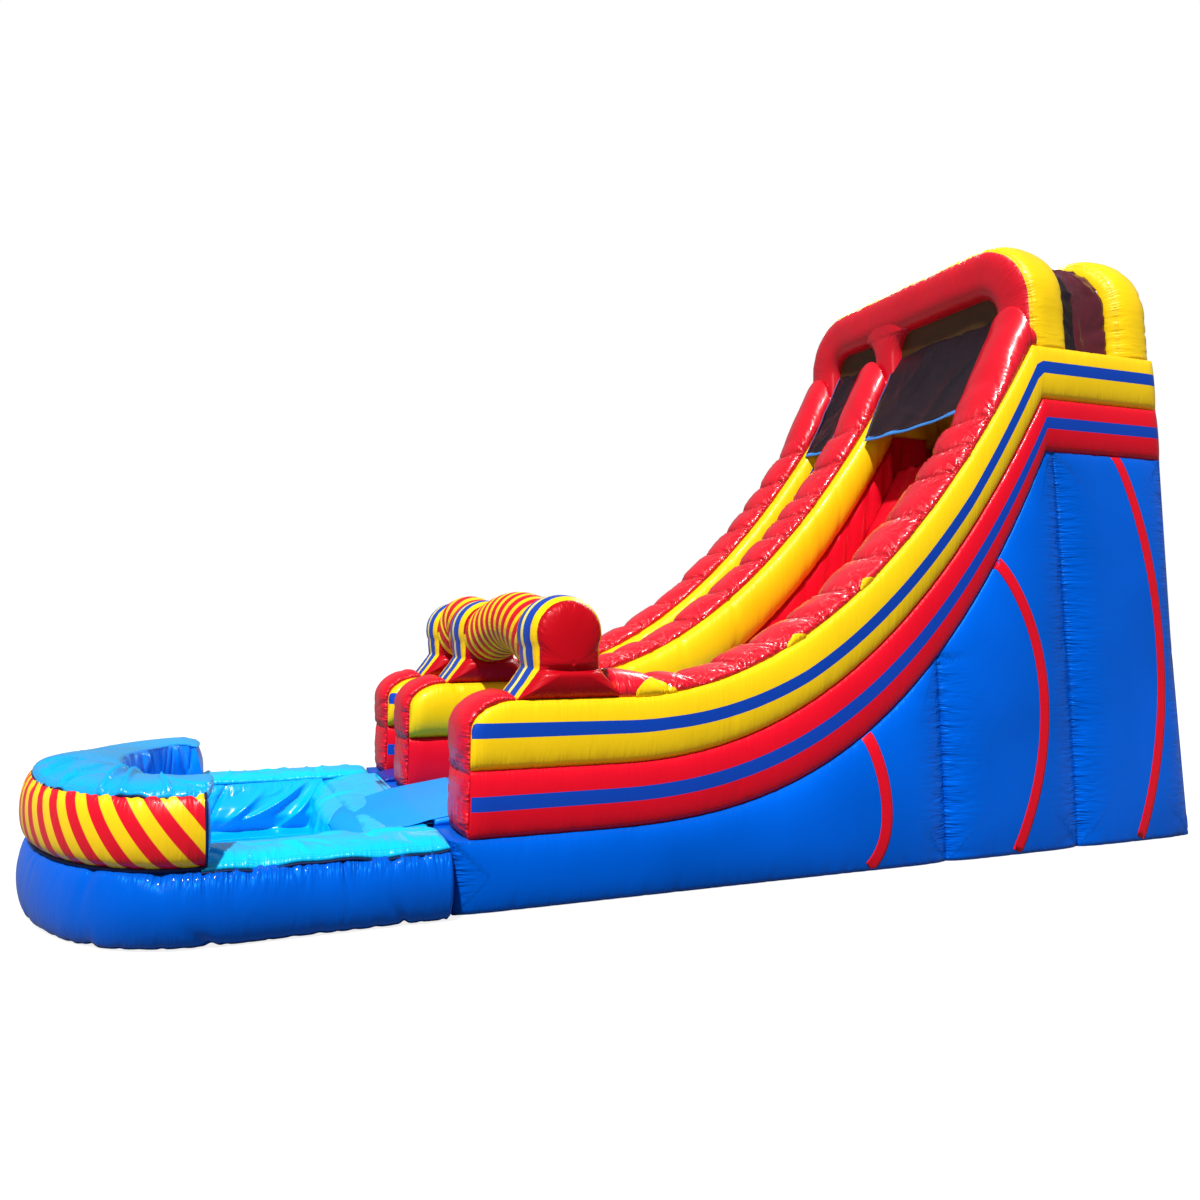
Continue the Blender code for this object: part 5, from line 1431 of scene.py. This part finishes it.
def bumper_lining():
    """Folded inner skin of the bumper, in the darker blue that is painted shade."""
    out, run = path_frame(ARM_X, (24, 200))[2:]
    line = pool_path(POOL_WIDTH + 0.004, ARM_X, (24, 200))
    zs = np.linspace(POOL_HEIGHT + 0.002, BUMPER_TOP + 0.012, 26)
    share = (zs - zs[0]) / (zs[-1] - zs[0])
    along = spread(run, share)
    up = zs - zs[0] + 0 * along
    folds = ridges(along, up, (run[-1], 0.05, 0.40), 34, 631, 1.15, 0.45, 0.26, 0.040, 0.030)
    folds += 0.014 * soft_noise(stack(along, up, 0), 632, 0.5)
    depth = 0.045 * swell(share) + folds * clamp(1.4 * swell(share, 4.0))
    depth = 0.004 + np.log1p(np.exp((depth - 0.004) * 60)) / 60
    flat = line[:, None] - out[:, None] * depth[..., None]
    grid = arm_slump(stack(flat[..., 0], flat[..., 1], zs))
    marks = stack(along, 0.4 * (1 - share), 0.5)
    dress(sheet("bumper_lining_skin", grid, [AQUA_IN_SHADE], 0.004, None, marks), "bumper_lining")


def pool_rims():
    t = np.concatenate([np.linspace(0, 0.08, 6)[:-1], np.linspace(0.08, 1, 28)])
    xs = np.linspace(POOL_NEAR_X + 0.01, ARM_X - 0.02, 130)
    x, share = cross_grid(xs, t)
    run, across = POOL_NEAR_X - x, POOL_WIDTH * share
    rise = swell(share, 2.8, 2.2)
    ends = near_end(x, ARM_X - 0.2, POOL_NEAR_X + 0.01, 0.07)
    for node, sign in (("pool_rim_near", -1), ("pool_rim_far", 1)):
        wave = 0.010 * np.sin(run * 8 + sign) + 0.006 * np.sin(run * 19)
        y = POOL_MIDDLE_Y + sign * (POOL_HALF - across + 0.026 * bell(share, 0.06))
        lift = RIM_CROWN * rise - (0.014 + np.clip(wave, -0.01, 0.02)) * bell(share, 0.05)
        folds = ridges(run, across, (1.4, 0.02, 0.45), 12, 641 + sign, 0.7, 0.9, 0.16, 0.024, 0.018)
        folds += ridges(run, across, (1.4, 0.02, 0.12), 16, 643 + sign, 1.3, 0.6, 0.06, 0.016, 0.008)
        folds += pleats(run, across, 1.4, 645 + sign, 0.08, 0.008, 0.010, 0.05, 0.4)
        folds += pleats(run, POOL_WIDTH - across, 1.4, 651 + sign, 0.13, 0.012, 0.018, 0.12, 0.5)
        folds += 0.006 * soft_noise(stack(x, y, 0), 661 + sign, 0.45)
        top = stack(x, y, POOL_HEIGHT + 0.001 + lift * (0.35 + 0.65 * ends) + folds * rise * ends)
        under = stack(x, y[:, ::-1], POOL_HEIGHT + 0.0005)[:, 1:-1:8]
        marks = stack(run, np.minimum(across, POOL_WIDTH - across), 0.5)
        rings = np.concatenate([top, under], axis=1)
        dress(skin(f"{node}_pad", rings, [AQUA], None, marks, domes=(0.015, 0.0)), node)
        # Painted shadow: a dark bead along the rim's outer edge.
        seam_shadow_bead(f"{node}_welt", node, top[:, 0] - [0.0, -0.004 * sign, 0.008])


POOL_BACK = POOL_NEAR_X - 0.40
POOL_INSIDE = POOL_MIDDLE_Y - POOL_HALF + POOL_WIDTH + GAP


def pool_liner():
    """Basin cloth: it hangs from the rims in long slanting folds, billows in and tucks back to the ground."""
    counts = (60, 170, 190)
    out, run = path_frame(POOL_BACK - GAP, counts)[2:]
    line = pool_path(POOL_WIDTH + 0.003, POOL_BACK - GAP, counts)
    share = np.linspace(0, 1, 44)
    stations = [0.0, 0.02, 0.42, 0.58, 0.80, 1.0]
    height = np.interp(share, stations, [POOL_HEIGHT + 0.02, POOL_HEIGHT, 0.25, 0.17, 0.05, 0.034])
    reach = np.interp(share, stations, [-0.03, 0.0, 0.16, 0.19, 0.13, 0.36])
    for values in (height, reach) * 3:
        values[1:-1] = (values[:-2] + 2 * values[1:-1] + values[2:]) / 4
    along = spread(run, share)
    drop = 0.60 * share + 0 * along
    folds = ridges(along, drop, (run[-1], 0.12, 0.34), 26, 671, 2.05, 0.28, 0.30, 0.075, 0.026)
    folds += ridges(along, drop, (run[-1], 0.05, 0.16), 44, 673, 1.9, 0.35, 0.10, 0.026, 0.012)
    folds += 0.030 * soft_noise(stack(along, drop, 0), 672, 0.60)
    folds *= clamp(share * 5) * clamp((1 - share) * 2 + 0.15)
    flat = line[:, None] - out[:, None] * (reach + folds)[..., None]
    grid = stack(flat[..., 0], flat[..., 1], np.maximum(height + 0.35 * folds, 0.033))
    item = sheet("pool_tray_skirt", grid, [BASIN_BLUE], 0.003, None, stack(along, drop, 0.5))
    dress(item, "pool_tray")
    floor_sheet()


def floor_sheet():
    line = pool_path(POOL_WIDTH + 0.06, POOL_BACK - GAP, (50, 120))
    middle = np.array([-1.2, POOL_MIDDLE_Y])
    flat = middle + (line[:, None, :] - middle) * np.linspace(1.0, 0.04, 16)[:, None]
    x, y = flat[..., 0], flat[..., 1]
    upper = stack(x, y, 0.031 + np.abs(0.006 * soft_noise(stack(x, y, 0), 681, 0.35)))
    index = np.arange(x.size).reshape(x.shape)
    top = [*quads_of(np.concatenate([index, index[:1]])), index[:, -1].tolist()]
    foot = [[point + x.size for point in face[::-1]] for face in top]
    rim = index[:, 0]
    after = np.roll(rim, -1)
    edge = np.stack([rim, after, after + x.size, rim + x.size], -1).tolist()
    points = np.concatenate([upper, stack(x, y, 0.002)]).reshape(-1, 3)
    marks = np.zeros_like(points)
    marks[:, 1] = 0.5
    item = make_object("pool_tray_floor", points, top + foot + edge, [BASIN_BLUE], None, {"seam": marks})
    dress(item, "pool_tray", "pool")


def pool_rear():
    low = (POOL_BACK, POOL_INSIDE, 0.001)
    high = (POOL_NEAR_X, 2 * POOL_MIDDLE_Y - POOL_INSIDE, POOL_HEIGHT - 0.012)
    item = cushion_box("pool_rear_wall_pad", low, high, AQUA, (0.03, 0.0, 0.030), (1, 3, 1), 690)
    dress(item, "pool_rear_wall")


APRON_Z = 0.458
APRON_LENGTH, APRON_GAP = 0.86, 0.004
TONGUE_LENGTH = 0.62
# The apron stays this far in front of the walls' ends, and a little beyond them to each side.
APRON_X, APRON_PLAY = -0.07, 0.04


def apron_surface(run, y):
    """Place and height of the apron's cloth at a run from the lanes: flat, then over the edge and down."""
    flat, bend, radius = 0.40, 0.20, 0.127
    angle = clamp((run - flat) / bend) * math.pi / 2
    down = np.maximum(run - flat - bend, 0.0)
    slump = 0.06 * np.sin(math.pi * (y - 0.5) / 2.5)
    x = -0.002 - np.minimum(run, flat) - radius * np.sin(angle) - down * 0.16
    z = APRON_Z - 0.050 * (np.minimum(run, flat) / flat) ** 2 - radius * (1 - np.cos(angle)) - down
    field = 0.010 * soft_noise(stack(run, y, 0), 701, 0.6)
    field = field + ridges(y, run, (3.4, 0.46, 0.80), 13, 703, 1.5, 0.25, 0.20, 0.030, 0.030)
    over = clamp((run - 0.34) / 0.2)
    return x - (field + slump) * over, z + np.maximum(field, -0.012) * (1 - over)


def apron():
    """The cloth from the lanes to the pool: over the pool's rear wall and down into the basin."""
    inside = POOL_INSIDE + APRON_GAP
    across = np.linspace(inside, 2 * POOL_MIDDLE_Y - inside, 110)
    run, y = cross_grid(np.linspace(0.0, APRON_LENGTH, 64), across)
    x, z = apron_surface(run, y)
    for _, side in WALLS:
        by_wall = (y > side - APRON_PLAY) & (y < side + WALL + APRON_PLAY)
        x = np.where(by_wall & (x > APRON_X), APRON_X, x)
    grid = stack(x, y, z)
    item = sheet("splash_apron_cloth", grid, [AQUA], 0.004, None, stack(y, 0.1, 0.3))
    dress(item, "splash_apron")
    width = y[0, -1] - y[0, 0]
    cloth_area(grid) / width
    tongue()


def tongue():
    """The end of the slide lane's cloth, which lies on the apron and rounds off into the pool."""
    near, far = WALL + 0.045, MIDDLE - 0.045
    share, y = cross_grid(np.linspace(0, 1, 50), np.linspace(near, far, 60))
    across = clamp(((y - near) / (far - near) - 0.10) / 0.90)
    reach = (TONGUE_LENGTH * np.sqrt(clamp(1 - across ** 2.0)) + 0.04) * share
    x, z = apron_surface(reach, y)
    z = z + 0.005 + (float(bed_top(0.0)) + 0.006 - 0.463) * bell(reach, 0.12)
    on_bed = np.linspace(0.40, 0.02, 16)[:, None] + 0 * y[:1]
    x, y = np.concatenate([on_bed, x]), np.concatenate([y[:16], y])
    grid = stack(x, y, np.concatenate([bed_top(on_bed) + 0.006, z]))
    item = sheet("splash_apron_tongue", grid, [EXIT_BLUE], 0.003, None, stack(y, 0.1, 0.2))
    dress(item, "splash_apron", "slide")
    cloth_area(grid) / (far - near)


# Fittings on the back

def build_fittings():
    for node in ("anchor_ring_1", "anchor_ring_2", "zip_slider"):
        item = frame["nodes"][node]
        item.data.materials.clear()
        item.data.materials.append(STEEL)
        item.data.shade_smooth()
        if node != "zip_slider":
            smooth = item.modifiers.new("smooth", "SUBSURF")
            smooth.levels = smooth.render_levels = 1
    tab(1, RING_INSET)
    tab(2, WIDTH - RING_INSET)
    zip_tape()
    zip_cover()
    sleeve()


def add_on(item):
    """Hang a small extra on the slide."""
    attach(item, "slide")


def tab(number, y):
    """Webbing that wraps the ring's bar, with its ends sewn to the back."""
    x, z, bore, thick = BODY_LENGTH + 0.014, RING_Z, 0.0050, 0.0045
    radius = bore + thick / 2
    back = BODY_LENGTH + 0.0028
    line = [(back, z - radius), (back + 0.004, z - radius)]
    angles = np.linspace(-math.pi / 2, math.pi / 2, 14)
    line += [(x + radius * math.cos(angle), z + radius * math.sin(angle)) for angle in angles]
    line += [(back + 0.006, z + radius + 0.004), (back + 0.003, z + 0.020), (back + 0.003, z + 0.080)]
    px, pz = np.array(line).T[..., None]
    grid = stack(px, np.linspace(y - 0.023, y + 0.023, 9), pz)
    item = sheet(f"anchor_tab_{number}_webbing", grid, [BLACK_WEB], thick - 0.0006)
    dress(item, f"anchor_tab_{number}")
    low, high, half = 0.030, 0.070, 0.016
    corners = [(-half, low), (half, low), (half, high), (-half, high), (-half, low), (half, high), (half, low),
               (-half, high)]
    name = f"anchor_tab_{number}_stitches"
    curve = bpy.data.curves.new(name, "CURVE")
    curve.dimensions = "3D"
    curve.bevel_depth = 0.0008
    curve.bevel_resolution = 1
    spline = curve.splines.new("POLY")
    spline.points.add(len(corners) - 1)
    for point, (across, up) in zip(spline.points, corners):
        point.co = (*(np.array([BODY_LENGTH + 0.0055, y + across, z + up]) + SHIFT), 1.0)
    curve.materials.append(RED)
    add_on(link(name, curve))


ZIP_FOOT, ZIP_HEAD = 0.50, 1.10
TEETH, TOOTH_PITCH = 150, 0.004
TOOTH = Vector((0.0018, 0.0050, 0.0022))


def zip_tape():
    """Zip tape with a row of teeth down its middle."""
    face = BODY_LENGTH + GAP
    y, z = cross_grid(np.linspace(ZIP_Y - 0.025, ZIP_Y + 0.025, 9), np.linspace(ZIP_FOOT, ZIP_HEAD, 60))
    grid = stack(face + 0.0035 + 0.0004 * np.sin(z * 60), y, z)
    dress(sheet("zip_tape_cloth", grid, [BLACK_WEB], 0.002), "zip_tape")
    mesh = bmesh.new()
    for number in range(TEETH):
        side = 0.0016 if number % 2 else -0.0016
        place = Vector((face + 0.0052, ZIP_Y + side, 0.503 + number * TOOTH_PITCH)) + Vector(SHIFT)
        for vertex in bmesh.ops.create_cube(mesh, size=1.0)["verts"]:
            vertex.co = vertex.co * TOOTH + place
    data = bpy.data.meshes.new("zip_tape_teeth")
    mesh.to_mesh(data)
    mesh.free()
    data.materials.append(STEEL)
    add_on(link("zip_tape_teeth", data))


def zip_cover():
    """Flap that hangs from its hem over the zip, and the batten that holds the hem."""
    x, top, drop, half = 6.4363, 1.15, 0.70, 0.07
    share, y = cross_grid(np.linspace(0, 1, 60), np.linspace(ZIP_Y - half, ZIP_Y + half, 19))
    wave = 0.0016 * np.sin(share * 9 + y * 30) * share
    marks = stack(top - drop * share, np.minimum(y - y[0, 0], y[0, -1] - y), 0.2)
    item = sheet("zip_cover_flap", stack(x + wave, y, top - 0.001 - drop * share), [ROYAL], 0.003, None, marks)
    dress(item, "zip_cover")
    batten = cushion_box("cover_batten_strip", (BODY_LENGTH + GAP, ZIP_Y - half, top + 0.0053),
                         (x + 0.004, ZIP_Y + half, top + 0.0353), ROYAL, (0.001, 0, 0.0), (1, 1, 1), 720)
    dress(batten, "cover_batten")


def sleeve():
    """Limp fabric tube for the blower, hemmed at its mouth, with a tie strap round it."""
    radius, length, tie_at = 0.128, 0.336, 0.72

    def ring(x, distance, angle):
        return stack(BODY_LENGTH + x, SLEEVE_Y + distance * np.cos(angle), SLEEVE_Z + distance * np.sin(angle))

    angles = circle(72)
    share, angle = cross_grid(np.linspace(0, 1, 40), angles)
    sag = 1 + 0.02 * np.sin(5 * angle + 6 * share) * np.sin(math.pi * share)
    distance = radius * sag * (1 - 0.05 * bell(share - tie_at, 0.05))
    x = 0.001 + length * share
    rings = np.concatenate([ring(x, distance, angle), ring(x, distance - 0.006, angle)[::-1]])
    to_mouth = length * (1 - np.concatenate([share, share]))
    item = skin("blower_sleeve_cloth", rings, [ROYAL], None, stack(angles * radius, to_mouth, 0.6), closed=True)
    dress(item, "blower_sleeve")
    strap = np.array([ring(tie_at * length + offset, radius * 0.955 + lift, angles)
                      for offset, lift in ((-0.012, 0.002), (-0.012, 0.005), (0.012, 0.005), (0.012, 0.002))])
    add_on(skin("blower_sleeve_strap", strap, [BLACK_WEB], closed=True, smooth=False))


# Stage: floor, light and camera

def aim(item, place, direction):
    item.location = place
    item.rotation_euler = Vector(direction).to_track_quat("-Z", "Y").to_euler()


WHITE = (1.0, 1.0, 1.0, 1.0)
FLOOR_GREY = (0.18, 0.18, 0.18, 1.0)
FLOOR_GLOW = 0.86
FLOOR_HALF = 60.0
FLOOR_DROP = 0.002
SKY, SKY_STRENGTH = (0.86, 0.90, 1.0, 1.0), 0.26
SUN_STRENGTH, SUN_ANGLE = 4.8, 3


def build_stage():
    graph = Graph("floor_look")
    tree = graph.tree
    tree.nodes.remove(graph.shader)
    diffuse = graph.add("ShaderNodeBsdfDiffuse", None, Color=FLOOR_GREY)
    path = graph.add("ShaderNodeLightPath").outputs
    seen = graph.math("MAXIMUM", path["Is Camera Ray"], path["Is Transmission Ray"])
    glow = graph.add("ShaderNodeEmission", None, Color=WHITE, Strength=graph.times(seen, FLOOR_GLOW))
    total = graph.add("ShaderNodeAddShader", None, i0=diffuse.outputs[0], i1=glow.outputs[0])
    tree.links.new(total.outputs[0], tree.nodes["Material Output"].inputs["Surface"])
    mesh = bpy.data.meshes.new("floor")
    corners = [(x * FLOOR_HALF, y * FLOOR_HALF, 0) for x, y in ((-1, -1), (1, -1), (1, 1), (-1, 1))]
    mesh.from_pydata(corners, [], [(0, 1, 2, 3)])
    mesh.materials.append(graph.material)
    floor = link("floor", mesh)
    floor.location.z = -FLOOR_DROP

    world = bpy.data.worlds.new("studio")
    bpy.context.scene.world = world
    world.use_nodes = True
    nodes, links = world.node_tree.nodes, world.node_tree.links
    nodes.clear()
    mixer = nodes.new("ShaderNodeMixShader")
    rays = nodes.new("ShaderNodeLightPath")
    links.new(rays.outputs["Is Camera Ray"], mixer.inputs["Fac"])
    for socket, colour, strength in ((1, SKY, SKY_STRENGTH), (2, WHITE, 1.0)):
        room = nodes.new("ShaderNodeBackground")
        room.inputs["Color"].default_value = colour
        room.inputs["Strength"].default_value = strength
        links.new(room.outputs[0], mixer.inputs[socket])
    links.new(mixer.outputs[0], nodes.new("ShaderNodeOutputWorld").inputs["Surface"])

    sun = bpy.data.lights.new("key", "SUN")
    sun.energy = SUN_STRENGTH
    sun.angle = math.radians(SUN_ANGLE)
    aim(link("key", sun), (-8, -11, 14), (0.32, 0.42, -0.85))
    lamp("cloud", (8.0, 7.5, 10.5), (1.0, 0.0, 2.0), 5.0, 850.0)
    lamp("sky", (-9.0, -7.0, 7.0), (0.5, 0.0, 1.6), 4.0, 110.0)


def lamp(name, place, target, size, power):
    data = bpy.data.lights.new(name, "AREA")
    data.shape = "SQUARE"
    data.size = size
    data.energy = power
    aim(link(name, data), place, Vector(target) - Vector(place))


# The camera as fitted to the slide's straight edges, in pixels of the frame.
FRAME_SIZE = 1200
FOCAL_LENGTH = 998.2
MIDDLE_ROW = 483
SENSOR = 36.0
EYE = (-1.566, -6.343, 1.8)
PITCH, YAW = 7.89, -21.90


def build_camera():
    data = bpy.data.cameras.new("camera")
    data.sensor_width = SENSOR
    data.lens = FOCAL_LENGTH / FRAME_SIZE * SENSOR
    data.shift_y = -(FRAME_SIZE / 2 - MIDDLE_ROW) / FRAME_SIZE
    data.clip_end = 200.0
    item = link("camera", data)
    item.location = (EYE[0] + SHIFT[0], EYE[1] + SHIFT[1], EYE[2])
    item.rotation_euler = (math.radians(90 + PITCH), 0.0, math.radians(YAW))
    bpy.context.scene.camera = item


for build in (build_camera, build_walls, build_base, build_bolsters, build_caps, build_columns, build_tubes,
              build_beds, build_steps, build_platform, build_tower, build_meshes, pool_wall, pool_bumper,
              pool_rims, pool_liner, pool_rear, apron, build_fittings, build_stage):
    build()
bpy.context.scene.view_settings.view_transform = "Standard"
